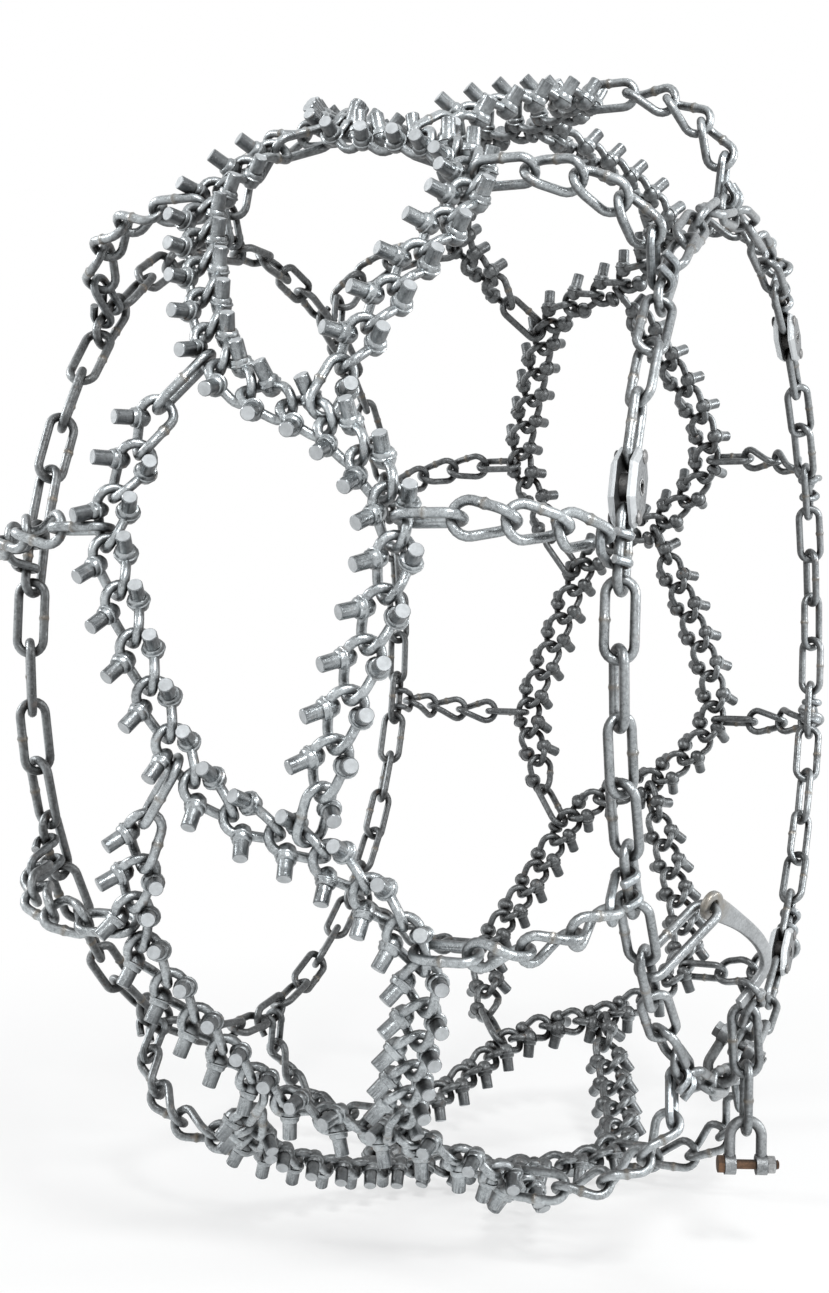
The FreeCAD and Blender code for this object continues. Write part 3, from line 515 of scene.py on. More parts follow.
def arc(start, direction, end, steps=ARC_STEPS):
    """Arc that leaves start in a direction and reaches end, without its last point.

    With T the direction, N the unit part of the chord across T, and R = chord / (2 sin a), where a is
    the angle from T to the chord: P(t) = start + R (N (1 - cos t) + T sin t), for t from 0 to 2 a.
    """
    chord = end - start
    along = unit(direction)
    half_turn = math.acos(np.clip(along @ chord / np.linalg.norm(chord), -1.0, 1.0))
    inward = unit(chord - along * (chord @ along))
    radius = np.linalg.norm(chord) / 2.0 / math.sin(half_turn)
    turn = np.linspace(0.0, 2.0 * half_turn, steps + 1)[:-1, None]
    return start + radius * (inward * (1.0 - np.cos(turn)) + along * np.sin(turn))


def link_path(apex, half, width, rise=0.0):
    """Closed centre line of a link, x from -apex to apex, with legs from -half to half at y = +-width.

    A leg rises by 2 rise from its start to its end, and the two legs rise in opposite directions.
    """
    share = np.concatenate([BEND_SHARES[:2], WELD_STATIONS / half, BEND_SHARES[2:]])[:, None]
    runs = []
    for side in (1.0, -1.0):
        begin = np.array([-side * half, side * width, -rise])
        end = np.array([side * half, side * width, rise])
        tip = np.array([side * apex, 0.0, 0.0])
        runs.append(begin + (end - begin) * (share + 1.0) / 2.0)
        runs.append(arc(end, end - begin, tip))
        back = arc(end * [1.0, -1.0, -1.0], (end - begin) * [1.0, 1.0, -1.0], tip)
        runs.append(np.concatenate([tip[None], back[:0:-1]]))
    return np.concatenate(runs)


def circle(sides=WIRE_SIDES):
    """Points of a unit circle, as (columns, 2)."""
    angle = np.arange(sides) * 2.0 * math.pi / sides
    return np.stack([np.cos(angle), np.sin(angle)], 1)


def link_skin(apex, half, width, wire, rise=0.0, bead_side=0.0, bead_height=BEAD_HEIGHT):
    """Skin of a link and its bead and rub fields: P + r (cos v N + sin v T x N), T being the tangent.

    The weld swells the wire by height * exp(-(x / width)^2), with a ripple round it.
    """
    path = link_path(apex, half, width, rise)
    tangent = unit(np.roll(path, -1, 0) - np.roll(path, 1, 0))
    first = unit(np.array([0.0, 0.0, 1.0]) - tangent * tangent[:, 2:])
    second = np.cross(tangent, first)
    bead = np.exp(-((path[:, 0] / WELD_WIDTH) ** 2)) * (np.sign(path[:, 1]) == bead_side)
    ripple = 1.0 + RIPPLE * np.sin(np.arange(WIRE_SIDES) * RIPPLE_STEP + RIPPLE_START)
    radius = wire / 2.0 + bead_height * bead[:, None] * ripple
    ring = circle()
    across = ring[:, 0, None] * first[:, None] + ring[:, 1, None] * second[:, None]
    points = path[:, None] + across * radius[..., None]
    inside = (np.abs(path[:, 0])[:, None] - np.abs(points[..., 0])) / (wire / 2.0)
    rub = np.clip(inside, 0.0, 1.0) * (np.abs(path[:, 0]) > apex - RUB_REACH * width)[:, None]
    return points, np.broadcast_to(bead[:, None], rub.shape), rub


def plain_skin(pitch, half_width, wire, slack, bead_side=1.0, bead_height=BEAD_HEIGHT):
    """Skin of a flat oval link whose joints are a pitch apart."""
    apex = (pitch + wire + slack) / 2.0
    return link_skin(apex, apex - half_width, half_width, wire, 0.0, bead_side, bead_height)


def link_piece(name, body, nodes, lots, finish):
    """One piece from several lots of links: each lot is a skin and the frames of its copies."""
    stack = Stack()
    for (skin, bead, rub), frames in lots:
        stack.add(placed(skin, frames), bead=bead, rub=rub)
    return dress(stack.piece(name, [finish]), body, nodes)


print("a link has", 2 * (len(WELD_STATIONS) + len(BEND_SHARES)) + 4 * ARC_STEPS, "stations round its path")

# %% [markdown]
# ## The net's own sizes
#
# Laid out flat, the links of a real strand point this way and that until it meets the strands beside
# it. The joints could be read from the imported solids, but a list of headings says the same in twenty
# numbers, so these are the part's driving values, repeated here. The net's cylinder is unrolled: s runs
# down its front and y across it. The headings say which way each link of a strand points, so the joints
# are a running sum of steps.

# %% Joints of one strand
WIRE = 6.5
LINK_GAP = 7.4
LINK_SLACK = 0.9
NET_RADIUS = 429.5
NET_PHASE = 12.0
PITCH = 32.37750959181395
START_Y = 96.59816178535725
LEAD_HEADINGS = [14.0, 26.0]
CROSS_HEADINGS = [4.0, -20.0, -21.0, -21.0, -21.0, -28.0, -50.0, -71.0, -66.0, -50.0, -41.0, -16.0]
RETURN_HEADINGS = [9.0] + [20.841701335139504] * 5
TWIST_HALF_WIDTH = 9.9
TWIST_RISE = 3.8
TWIST_LEG = 7.035136719728518
TWIST_APEX = (PITCH + LINK_GAP) / 2.0
PLAIN_HALF_WIDTH = 9.6
LAST_SLACK = 1.4
LAST_ROLL = -58.0


def on_net(places):
    """Points of the net over places (s, y): the angle is the phase less s / R, all at radius R."""
    angle = math.radians(NET_PHASE) - places[:, 0] / NET_RADIUS
    return np.stack([-NET_RADIUS * np.cos(angle), places[:, 1], NET_RADIUS * np.sin(angle)], 1)


headings = np.radians(LEAD_HEADINGS + CROSS_HEADINGS + RETURN_HEADINGS)
steps = PITCH * np.stack([np.cos(headings), np.sin(headings)], 1)
strand_places = np.concatenate([np.zeros((1, 2)), np.cumsum(steps, 0)])
strand_places += np.array([0.0, START_Y]) - strand_places[len(LEAD_HEADINGS)]
strand_joints = on_net(strand_places)
middles = (strand_joints[:-1] + strand_joints[1:]) / 2.0
LAST = len(headings) - 1
strand_rolls = np.where(np.arange(LAST + 1) == LAST, LAST_ROLL, 0.0)
strand_frames = link_frames(strand_joints[:-1], strand_joints[1:], unit(middles * [1.0, 0.0, 1.0]),
                            strand_rolls)
print("one strand has", LAST + 1, "links and ends at", np.round(strand_places[-1], 1))

# %% [markdown]
# Each strand is one piece of twenty links, the unit that the net repeats. One mesh could hold the whole
# net, but then no strand could be looked at or changed alone. Only the first and the last link of a
# strand show their weld, because the other welds are taken to lie under the studs' collars.

# %% Links of the ten strands
twisted = link_skin(TWIST_APEX, TWIST_LEG, TWIST_HALF_WIDTH, WIRE, TWIST_RISE)
twisted_bead = link_skin(TWIST_APEX, TWIST_LEG, TWIST_HALF_WIDTH, WIRE, TWIST_RISE, 1.0)
last_bead = plain_skin(PITCH, PLAIN_HALF_WIDTH, WIRE, LAST_SLACK, -1.0)
for number in range(STRANDS):
    label = "%02d" % (number + 1)
    here = round_the_axis(strand_frames, [number])
    link_piece("net_links_" + label, "net", ["strand_%s_links" % label],
               [(twisted_bead, only(here, slice(0, 1))), (twisted, only(here, slice(1, LAST))),
                (last_bead, only(here, slice(LAST, LAST + 1)))], LINK_STEEL)

# %% [markdown]
# ## Studs
#
# A stud is a short peg of round bar, welded on end to a leg of the link. The weld squeezes the metal out
# into a thick rounded collar with a raised line of flash round it. A cylinder and a ball would do from
# afar, but the flash line and the sawn edge are what catches the light. So one outline, from under the
# leg up to the sawn face, is turned round the stud's axis. The collar is a little shorter along the leg
# than across it, and the flash line dips to one side, differently on every stud.

# %% Outline and skin of a stud
STUD_SIDES = 16
STUD_TILT = 27.0
LAST_STUD_TILT = 35.0
COLLAR_CENTRE = -4.3
LEG_SLOPE = TWIST_RISE / TWIST_LEG
# Height above the leg's middle and radius, from the bottom of the collar to the sawn face
STUD_OUTLINE = np.array([(-7.0, 0.0), (-6.5, 3.2), (-4.2, 5.9), (-1.0, 7.0), (1.0, 7.2), (1.7, 8.0),
                         (2.5, 7.9), (3.1, 7.1), (5.2, 6.9), (6.2, 6.2), (6.5, 5.1), (17.9, 5.0),
                         (18.5, 4.5), (18.5, 0.0)])
COLLAR_ROWS = 10
PEG_RADIUS = 5.0
LENGTHWISE = 0.08  # streaks are this much finer round the peg than along it
COLLAR_ALONG, HOOKED_ALONG = 0.92, 0.74
FLASH_DIP, FLASH_FROM = 0.55, 6.0
LEAST_SWELL, MOST_SWELL = -0.03, 0.05
LEAST_SHIFT, MOST_SHIFT = 1.0, 50.0
random = np.random.default_rng(7)


def stud_frames(frames, side, half_width=TWIST_HALF_WIDTH, slope=LEG_SLOPE, tilt=STUD_TILT, roll=0.0):
    """Frames of the studs on one leg of some links: x along the leg, z out along the peg.

    The peg leans to its own side of the link: out = upright cos(tilt) + level side sin(tilt).
    """
    slope, roll, tilt = side * slope, math.radians(roll), math.radians(tilt)
    middle = np.array([COLLAR_CENTRE, side * half_width, COLLAR_CENTRE * slope])
    along = unit(np.array([1.0, 0.0, slope]))
    above = np.array([-along[2], 0.0, along[0]])
    beside = np.array([0.0, 1.0, 0.0])
    level = beside * math.cos(roll) - above * math.sin(roll)
    upright = above * math.cos(roll) + beside * math.sin(roll)
    out = upright * math.cos(tilt) + level * side * math.sin(tilt)
    axes = np.stack([along, np.cross(out, along), out])
    return middle @ frames[1] + frames[0], axes @ frames[1]


def stud_skin(copies, along):
    """Turned skins (copies, rows, columns, 3): r (cos v X + sin v Y) + h Z, X squeezed at the collar."""
    ring = circle(STUD_SIDES)
    height, radius = STUD_OUTLINE[:, 0, None], STUD_OUTLINE[:, 1, None]
    collar = (np.arange(len(STUD_OUTLINE)) < COLLAR_ROWS)[:, None]
    swell = 1.0 + random.uniform(LEAST_SWELL, MOST_SWELL, (copies, 1, 1)) * collar
    phase = random.uniform(0.0, 2.0 * math.pi, (copies, 1, 1))
    dip = FLASH_DIP * np.sin(np.arange(STUD_SIDES) * 2.0 * math.pi / STUD_SIDES + phase) * collar
    x = radius * ring[:, 0] * np.where(collar, along, 1.0) * swell
    y = radius * ring[:, 1] * swell
    return np.stack([x, y, height + dip * (radius > FLASH_FROM)], -1)


def add_studs(stack, frames, along=COLLAR_ALONG):
    """Studs at some frames; the flat coordinates of each sawn face are turned and shifted at random."""
    local = stud_skin(len(frames[0]), along)
    grid = np.einsum("crvi,cij->crvj", local, frames[1]) + frames[0][:, None, None]
    spin = random.uniform(0.0, 2.0 * math.pi, (len(local), 1, 1))
    shift = random.uniform(LEAST_SHIFT, MOST_SHIFT, (len(local), 1, 1))
    flat = np.stack([local[..., 0] * np.cos(spin) - local[..., 1] * np.sin(spin) + shift,
                     local[..., 0] * np.sin(spin) + local[..., 1] * np.cos(spin) + shift], -1)
    round_it = PEG_RADIUS * np.arange(STUD_SIDES) * 2.0 * math.pi / STUD_SIDES
    side = np.stack([shift + round_it + 0.0 * local[..., 2], shift + LENGTHWISE * local[..., 2]], -1)
    rows = np.arange(len(STUD_OUTLINE))[:, None]
    flat = np.where(rows[..., None] < len(rows) - 2, side, flat)
    face_rows = np.arange(len(STUD_OUTLINE) - 1) == len(STUD_OUTLINE) - 2
    stack.add(grid, False, face_rows.astype(int), flat, peg=rows > COLLAR_ROWS)


print("a stud stands", STUD_OUTLINE[-1, 0], "mm over the middle of its leg")

# %% [markdown]
# Every link carries a stud on each leg, but for the first and the last link of a strand. Where another
# link hooks a leg, the collar is shorter along it, which leaves room beside it. The studs of a strand
# share one piece: its pegs and collars have the zinc finish, and its last row of faces is sawn steel.

# %% Studs of the ten strands
hooked_left = [place + len(LEAD_HEADINGS) for place in (0, 5)]
hooked_right = [place + len(LEAD_HEADINGS) for place in (8, 11)]
inner_legs = [n for n in range(1, LAST) if n not in hooked_right]
outer_legs = [n for n in range(0, LAST) if n not in hooked_left]
for number in range(STRANDS):
    label = "%02d" % (number + 1)
    here = round_the_axis(strand_frames, [number])
    studs = Stack()
    add_studs(studs, stud_frames(only(here, inner_legs), 1.0))
    add_studs(studs, stud_frames(only(here, outer_legs), -1.0))
    add_studs(studs, stud_frames(only(here, hooked_right), 1.0), HOOKED_ALONG)
    add_studs(studs, stud_frames(only(here, hooked_left), -1.0), HOOKED_ALONG)
    add_studs(studs, stud_frames(only(here, [LAST]), 1.0, PLAIN_HALF_WIDTH, 0.0, LAST_STUD_TILT, LAST_ROLL))
    dress(studs.piece("net_studs_" + label, [STUD_STEEL, SAWN_FACE], poles=True), "net",
          ["strand_%s_studs" % label])

# %% [markdown]
# ## Connectors and arms
#
# Plain oval links tie a strand to the one before it. From each vertex an arm goes over the shoulder: a
# plain end link, three twisted links and a wire hook. An arm hangs in the air between the net and its
# side chain, so its joints can't be worked out from headings. The joints below, in millimetres, belong to
# the first strand, and the others are the same arm turned round the axis.

# %% Connectors and arm links
CONNECTOR = [(-387.1791, 49.8576, 179.4649), (-403.4106, 74.5720, 147.4115)]
CONNECTOR_ROLL = 60.0
ARM_ROLL = 38.0
ARM_END_ROLL = 85.0
ARMS = {
    "outer": {
        "joints": [(-386.1904, -104.9222, -193.4299), (-386.0549, -139.9219, -193.3621),
                   (-378.4637, -171.1664, -189.5599), (-360.4217, -196.4869, -180.5232),
                   (-334.8843, -211.7361, -167.7324)],
        "normals": [(-0.894117, 0.0, -0.447833), (-0.862829, -0.262227, -0.432162),
                    (-0.699236, -0.623227, -0.350224), (-0.421111, -0.882144, -0.210920)],
        "leg": (-310.0199, -215.0, -155.2786), "hook": (33.50886, -3.26394)},
    "inner": {
        "joints": [(-420.5151, 104.3359, 67.4045), (-420.3990, 139.3357, 67.3859),
                   (-412.2424, 170.6417, 66.0785), (-392.5023, 196.1096, 62.9143),
                   (-364.4119, 211.5680, 58.4117)],
        "normals": [(-0.987396, 0.0, 0.158270), (-0.954718, 0.255137, 0.153032),
                    (-0.776680, 0.617470, 0.124494), (-0.471424, 0.878663, 0.075565)],
        "leg": (-342.3628, 215.0, 54.8774), "hook": (28.03058, -3.43201)},
}

span = float(np.linalg.norm(np.subtract(*CONNECTOR)))
connector_out = unit(np.multiply(CONNECTOR[0], (1.0, 0.0, 1.0)))
connector = link_frames([CONNECTOR[0]], [CONNECTOR[1]], [connector_out], CONNECTOR_ROLL)
link_piece("connector_links", "net", ["net_connectors"],
           [(plain_skin(span, PLAIN_HALF_WIDTH, WIRE, LINK_SLACK), round_the_axis(connector))], LINK_STEEL)
for side, arm in ARMS.items():
    joints, normals = np.array(arm["joints"]), np.array(arm["normals"])
    ends = link_frames(joints[:1], joints[1:2], normals[:1], ARM_END_ROLL)
    runs = link_frames(joints[1:-1], joints[2:], normals[1:], ARM_ROLL)
    end_skin = plain_skin(float(np.linalg.norm(joints[1] - joints[0])), PLAIN_HALF_WIDTH, WIRE, LINK_SLACK)
    link_piece(side + "_end_links", "net", [side + "_arm_end_links"],
               [(end_skin, round_the_axis(ends))], LINK_STEEL)
    link_piece(side + "_shoulder_links", "net", [side + "_arm_links"],
               [(twisted_bead, round_the_axis(runs))], LINK_STEEL)

# %% [markdown]
# ## Wire hooks
#
# A hook is one wire: two shanks from a bend at the top, and two prongs curled round a leg of the side
# chain, cut off square. A closed link can take its normals from one fixed direction, but this wire turns
# every way, and such a section would twist. So the section is carried along the path with its normal
# handed on from station to station, and each end gets a torn, slightly domed face.

# %% Hooks
HOOK_WIRE = 6.0
HOOK_HALF_GAP = 8.6
HOOK_CURL = 235.0
PRONG_END = 9.0
SIDE_WIRE = 6.5
SEAT_GAP = 0.5
CURL_STEPS = 15
HOOK_SIDES = 10
SHANK_SHARES = np.array([0.25, 0.5, 0.75])
# Shares of the section and of the dome's height, from the middle of an end to its rim
END_ROWS = [(0.0, -1.0), (0.55, -0.7), (0.93, 0.0)]
RIM_INSET = 0.3


def hook_path(length, drop):
    """Centre line of a hook, x down from its bend, z outwards; it curls round (length, y, 0).

    A prong is a circle of radius c round the leg: (L - c sin t, y, -c cos t), with t from lean to
    lean minus the curl, and a straight end that leaves it along the circle's tangent.
    """
    curl = SIDE_WIRE / 2.0 + HOOK_WIRE / 2.0 + SEAT_GAP
    top = HOOK_HALF_GAP
    lean = math.asin(curl / math.hypot(length - top, drop)) - math.atan2(drop, length - top)
    turn = lean - np.radians(np.linspace(HOOK_CURL, 0.0, CURL_STEPS))
    prong = np.stack([length - curl * np.sin(turn), np.full(CURL_STEPS, top), -curl * np.cos(turn)], 1)
    leave = np.array([math.cos(turn[0]), 0.0, -math.sin(turn[0])])
    prong = np.concatenate([prong[:1] + leave * np.array([[PRONG_END], [PRONG_END / 2.0]]), prong])
    shoulder = np.array([top, top, drop])
    back = unit(shoulder - prong[-1])
    crest = np.array([top, 0.0, drop]) + back * top
    shank = prong[-1] + (shoulder - prong[-1]) * SHANK_SHARES[:, None]
    half = np.concatenate([prong, shank, arc(shoulder, back, crest)])
    return np.concatenate([half, crest[None], (half * [1.0, -1.0, 1.0])[::-1]])


def handed_on(tangents, first):
    """Normals along a path: each is the one before it, less its part along the new tangent."""
    normals = [unit(first - tangents[0] * (tangents[0] @ first))]
    for tangent in tangents[1:]:
        normals.append(unit(normals[-1] - tangent * (tangent @ normals[-1])))
    return np.array(normals)


def open_skin(path, scale, section, normals=None, dome=0.25, first=(0.0, 1.0, 0.0)):
    """Skin of an open path with a rounded rim and a dome at each end, as (rows, columns, 3).

    Row r is P + a N s0 + b (T x N) s1, with (a, b) the section and (s0, s1) the scale at that row.
    """
    tangents = unit(np.gradient(path, axis=0))
    normals = handed_on(tangents, np.asarray(first, float)) if normals is None else normals
    seconds = np.cross(tangents, normals)
    scale = np.broadcast_to(scale, (len(path), 2))
    last = len(path) - 1
    insets = [RIM_INSET] + [0.0] * (last - 1) + [-RIM_INSET]
    rows = [(0, share, height * dome) for share, height in END_ROWS]
    rows += [(station, 1.0, inset) for station, inset in enumerate(insets)]
    rows += [(last, share, -height * dome) for share, height in END_ROWS[::-1]]
    place = np.array([row[0] for row in rows])
    share = np.array([row[1] for row in rows])[:, None]
    shift = np.array([row[2] for row in rows])[:, None]
    a = section[:, 0] * scale[place, 0, None] * share
    b = section[:, 1] * scale[place, 1, None] * share
    centre = path[place] + tangents[place] * shift
    return centre[:, None] + a[..., None] * normals[place][:, None] + b[..., None] * seconds[place][:, None]


for side, arm in ARMS.items():
    outwards = np.array([0.0, -1.0 if side == "outer" else 1.0, 0.0])
    leg = np.array(arm["leg"])
    down = -unit(leg * [1.0, 0.0, 1.0])
    hooks = frame_of(leg - down * arm["hook"][0], down, outwards)
    skin = open_skin(hook_path(*arm["hook"]), HOOK_WIRE / 2.0, circle(HOOK_SIDES))
    cut_rows = np.zeros(len(skin) - 1, int)
    cut_rows[:2], cut_rows[-2:] = 1, 1
    stack = Stack().add(placed(skin, round_the_axis(hooks)), False, cut_rows, bead=0.0, rub=0.0)
    dress(stack.piece(side + "_wire_hooks", [HOOK_STEEL, SHEARED_FACE], poles=True), "net",
          [side + "_hooks"])

# %% [markdown]
# ## Side chains
#
# Fifty slots lie round each side ring. A long oval link fills a slot, flat where a hook or a fitting
# holds it. Real links stand at right angles to their neighbours, but a chain pulled round a ring shares
# the turn out, so here each link is turned a little further than the one before it. In three slots of
# the outer ring a tightening cam stands for the link.

# %% Side links
SIDE_RADIUS = 338.0
SIDE_OFFSET = 215.0
SIDE_HALF_WIDTH = 9.4
SIDE_SLACK = 1.4
SIDE_GAP = SIDE_WIRE + SIDE_SLACK
SLOTS = 50
SLOT_STEP = 360.0 / SLOTS
OUTER_PHASE, INNER_PHASE = -26.60476426701268, 9.106493182736282
CAM_SLOTS = [6, 21, 36]
LEVER_SLOT, SHACKLE_SLOT = 48, 42
FULL_TURN_FROM = 4
CAM_REACH, CAM_PIN = 20.5, 6.0
LOWEST_BEAD = 0.35


def side_point(slot, phase, sense, radius=SIDE_RADIUS):
    """Point (-R cos a, +-offset, R sin a) of a ring, a = phase + step * slot; slots run up its front."""
    angle = math.radians(phase + SLOT_STEP * slot)
    return np.array([-radius * math.cos(angle), sense * SIDE_OFFSET, radius * math.sin(angle)])


def cam_middle(slot, phase=OUTER_PHASE, sense=-1.0):
    """Middle of a cam and the direction of the chain through it."""
    before, after = side_point(slot - 0.5, phase, sense), side_point(slot + 0.5, phase, sense)
    return (before + after) / 2.0, unit(after - before)


def side_joint(slot, phase, sense, cams):
    """Joint before the link of a slot; beside a cam it lies over the cam's pin."""
    for cam, end in ((slot, -1.0), (slot - 1, 1.0)):
        if cam % SLOTS in cams:
            middle, along = cam_middle(cam, phase, sense)
            inset = (CAM_PIN + SIDE_WIRE) / 2.0 + SEAT_GAP - SIDE_GAP / 2.0
            return middle + along * end * (CAM_REACH - inset)
    return side_point(slot - 0.5, phase, sense)


def side_rolls(flat_slots):
    """Roll of every side link: none at the flat slots, an even twist from one to the next."""
    rolls = np.zeros(SLOTS)
    for here, after in zip(flat_slots, flat_slots[1:] + [flat_slots[0] + SLOTS]):
        turn = 360.0 if after - here >= FULL_TURN_FROM else 180.0
        for step in range(after - here):
            rolls[(here + step) % SLOTS] = turn * step / (after - here)
    return rolls


def side_chain(name, node, phase, sense, flat_slots, cams):
    """Links of one side ring, each as long as its own joints are apart."""
    rolls = side_rolls(flat_slots)
    stack = Stack()
    for slot in (n for n in range(SLOTS) if n not in cams):
        begin, end = side_joint(slot, phase, sense, cams), side_joint(slot + 1, phase, sense, cams)
        skin, bead, rub = plain_skin(float(np.linalg.norm(end - begin)), SIDE_HALF_WIDTH, SIDE_WIRE,
                                     SIDE_SLACK, random.choice([-1.0, 1.0]),
                                     random.uniform(LOWEST_BEAD, BEAD_HEIGHT))
        where = link_frames([begin], [end], [(0.0, sense, 0.0)], rolls[slot])
        stack.add(placed(skin, where), bead=bead, rub=rub)
    return dress(stack.piece(name, [SIDE_STEEL]), "net", [node])


hook_slots = list(range(0, SLOTS, SLOTS // STRANDS))
flat = sorted(hook_slots + [slot + 1 for slot in CAM_SLOTS] + [LEVER_SLOT, SHACKLE_SLOT])
side_chain("outer_side_links", "outer_side_chain", OUTER_PHASE, -1.0, flat, CAM_SLOTS)
side_chain("inner_side_links", "inner_side_chain", INNER_PHASE, 1.0, hook_slots, [])

# %% [markdown]
# ## Links of the fastener and the surplus end
#
# A long link runs in from the side chain to the lever's eye. A small ring holds the lever's toe, three
# short links go on to the shackle, and two loose links hang down with a second shackle. Each of them has
# a place of its own, so each gets its own frame: the middle in millimetres, the direction along the link
# and a direction near its normal. The loose links ride on bodies of their own, because they swing.

# %% Fastener links
LONG_LINK = frame_of((-228.522, -228.200, -198.684), (0.67174, -0.45570, 0.58404),
                     (-0.65612, 0.0, 0.75466))
KEEPER = frame_of((-115.001, -254.828, -249.980), (0.77025, -0.08529, -0.63202),
                  (-0.53708, 0.44765, -0.71495))
RUN = (0.80876, 0.29523, -0.50867)
RUN_LINKS = [((-93.721, -250.933, -264.924), (-0.03193, -0.84156, -0.53922)),
             ((-67.443, -241.340, -281.451), (-0.58767, 0.44022, -0.67886)),
             ((-41.166, -231.748, -297.978), (-0.01453, -0.85458, -0.51911))]
TAIL_LINKS = {"tail_link_1": ("tail_1", (-99.359, -247.722, -287.556), (0.0, -0.06976, -0.99756),
                              (0.92589, 0.37687, -0.02635)),
              "tail_link_2": ("tail_2", (-99.359, -249.187, -329.505), (0.0, 0.0, -1.0),
                              (-0.37858, 0.92557, 0.0))}
LONG_PITCH, RUN_PITCH, TAIL_PITCH = 65.83, 32.49, 42.0
KEEPER_WIRE, KEEPER_HALF_WIDTH, KEEPER_PITCH = 5.0, 8.0, 21.94

link_piece("long_link", "net", ["fastener_long_link"],
           [(plain_skin(LONG_PITCH, SIDE_HALF_WIDTH, SIDE_WIRE, SIDE_SLACK), LONG_LINK)], SIDE_STEEL)
link_piece("keeper_loop", "net", ["keeper_ring"],
           [(plain_skin(KEEPER_PITCH, KEEPER_HALF_WIDTH, KEEPER_WIRE, 0.0), KEEPER)], SIDE_STEEL)
short = plain_skin(RUN_PITCH, PLAIN_HALF_WIDTH, WIRE, LINK_SLACK)
link_piece("short_links", "net", ["fastener_links"],
           [(short, frame_of(middle, RUN, z)) for middle, z in RUN_LINKS], SIDE_STEEL)
loose = plain_skin(TAIL_PITCH, SIDE_HALF_WIDTH, SIDE_WIRE, SIDE_SLACK)
for node, (body, middle, x, z) in TAIL_LINKS.items():
    link_piece("loose_" + node, body, [node], [(loose, frame_of(middle, x, z))],
               SIDE_STEEL)

# %% [markdown]
# ## The lever
#
# The lever is forged flat: a ring for an eye, a neck that widens into it, and an arm that tapers and
# sweeps down to a toe. It could be cut from a plate with a bevel, but forging leaves no even edge: the
# sides bulge. So a rounded oblong section is carried along the middle line, and a second one is turned
# round the eye. Years of pulling have rubbed the eye to a yellowish grey.

# %% Lever
LEVER_EYE_AT = (-203.757, -245.000, -177.153)
LEVER_FRAME = frame_of(LEVER_EYE_AT, (0.89952, -0.22093, -0.37689), (-0.34390, -0.89013, -0.29899))
LEVER_REACH = 112.0
TOE_FROM, TOE_TO = -12.0, -25.2
NECK_PULL, TOE_PULL = np.array([52.0, 3.0]), 26.0
LEVER_THICK, LEVER_WIDTH, LEVER_NECK, LEVER_TIP = 6.0, 12.0, 16.6, 8.8
NECK_START, NECK_LENGTH = 5.6, 30.0
SWEEP_STEPS, TOE_STEPS = 26, 8
EYE_MIDDLE, EYE_HALF, EYE_STEPS, EYE_SIDES = 7.5, 3.0, 32, 14
ARM_SIDES, ARM_POWER, EYE_POWER, TOE_DOME = 20, 3.6, 3.0, 0.9
EYE_TINT = colour(0.30, 0.265, 0.215)


def oblong(sides, power):
    """Rounded oblong inside the unit square: (|cos v|^(2/p), |sin v|^(2/p)) with their signs."""
    ring = circle(sides)
    return np.sign(ring) * np.abs(ring) ** (2.0 / power)


def round_arc(centre, radius, first, last, count):
    """Points centre + radius (cos a, sin a), with a from first to last in degrees."""
    angle = np.radians(np.linspace(first, last, count))
    return np.stack([centre[0] + radius * np.cos(angle), centre[1] + radius * np.sin(angle),
                     np.zeros(count)], 1)


def sweep(start, start_pull, end_pull, end, count):
    """Curve (1-t)^3 A + 3 (1-t)^2 t B + 3 (1-t) t^2 C + t^3 D: it leaves A towards B, and comes from C."""
    t = np.linspace(0.0, 1.0, count)[:, None]
    line = (1 - t) ** 3 * start + 3 * (1 - t) ** 2 * t * start_pull + 3 * (1 - t) * t ** 2 * end_pull
    return np.pad(line + t ** 3 * end, ((0, 0), (0, 1)))


def lever_arm():
    """Skin of the arm: its width is W + (T - W) s / S + (N - W) exp(-(s / 30)^2), s being the run."""
    toe = round_arc((0.0, 0.0), LEVER_REACH, TOE_FROM, TOE_TO, TOE_STEPS)
    neck = np.array([NECK_START, 0.0])
    upwards = np.array([-math.sin(math.radians(TOE_FROM)), math.cos(math.radians(TOE_FROM))])
    bent = sweep(neck, neck + NECK_PULL, toe[0, :2] + upwards * TOE_PULL, toe[0, :2], SWEEP_STEPS)
    line = np.concatenate([bent, toe[1:]])
    run = np.concatenate([[0.0], np.cumsum(np.linalg.norm(np.diff(line, axis=0), axis=1))])
    wide = LEVER_WIDTH + (LEVER_TIP - LEVER_WIDTH) * run / run[-1]
    wide += (LEVER_NECK - LEVER_WIDTH) * np.exp(-((run / NECK_LENGTH) ** 2))
    sideways = np.cross([0.0, 0.0, 1.0], unit(np.gradient(line, axis=0)))
    scale = np.stack([wide / 2.0, np.full(len(run), LEVER_THICK / 2.0)], 1)
    return open_skin(line, scale, oblong(ARM_SIDES, ARM_POWER), normals=sideways, dome=TOE_DOME)


def lever_eye():
    """Skin of the eye: the section (a, b) at radius R + a, height -b, turned once round z."""
    section = oblong(EYE_SIDES, EYE_POWER) * EYE_HALF
    turn = np.arange(EYE_STEPS)[:, None] * 2.0 * math.pi / EYE_STEPS
    radius = EYE_MIDDLE + section[:, 0]
    return np.stack([radius * np.cos(turn), radius * np.sin(turn),
                     np.broadcast_to(-section[:, 1], (EYE_STEPS, EYE_SIDES))], -1)


def worn_eye(start, place, tint):
    """Yellowish grey tint round the lever's eye, which fades out from 8 to 26 mm off its middle."""
    eye = tuple(number * MM for number in LEVER_EYE_AT)
    away = place.node("VectorMath", {0: place, 1: eye}, {"operation": "DISTANCE"}, out="Value")
    near = (1.0 - away.ramp(0.008, 0.026)) * (1.5 * place.noise(190.0, 3.0) - 0.25)
    return near.clamped().mix(tint, EYE_TINT)


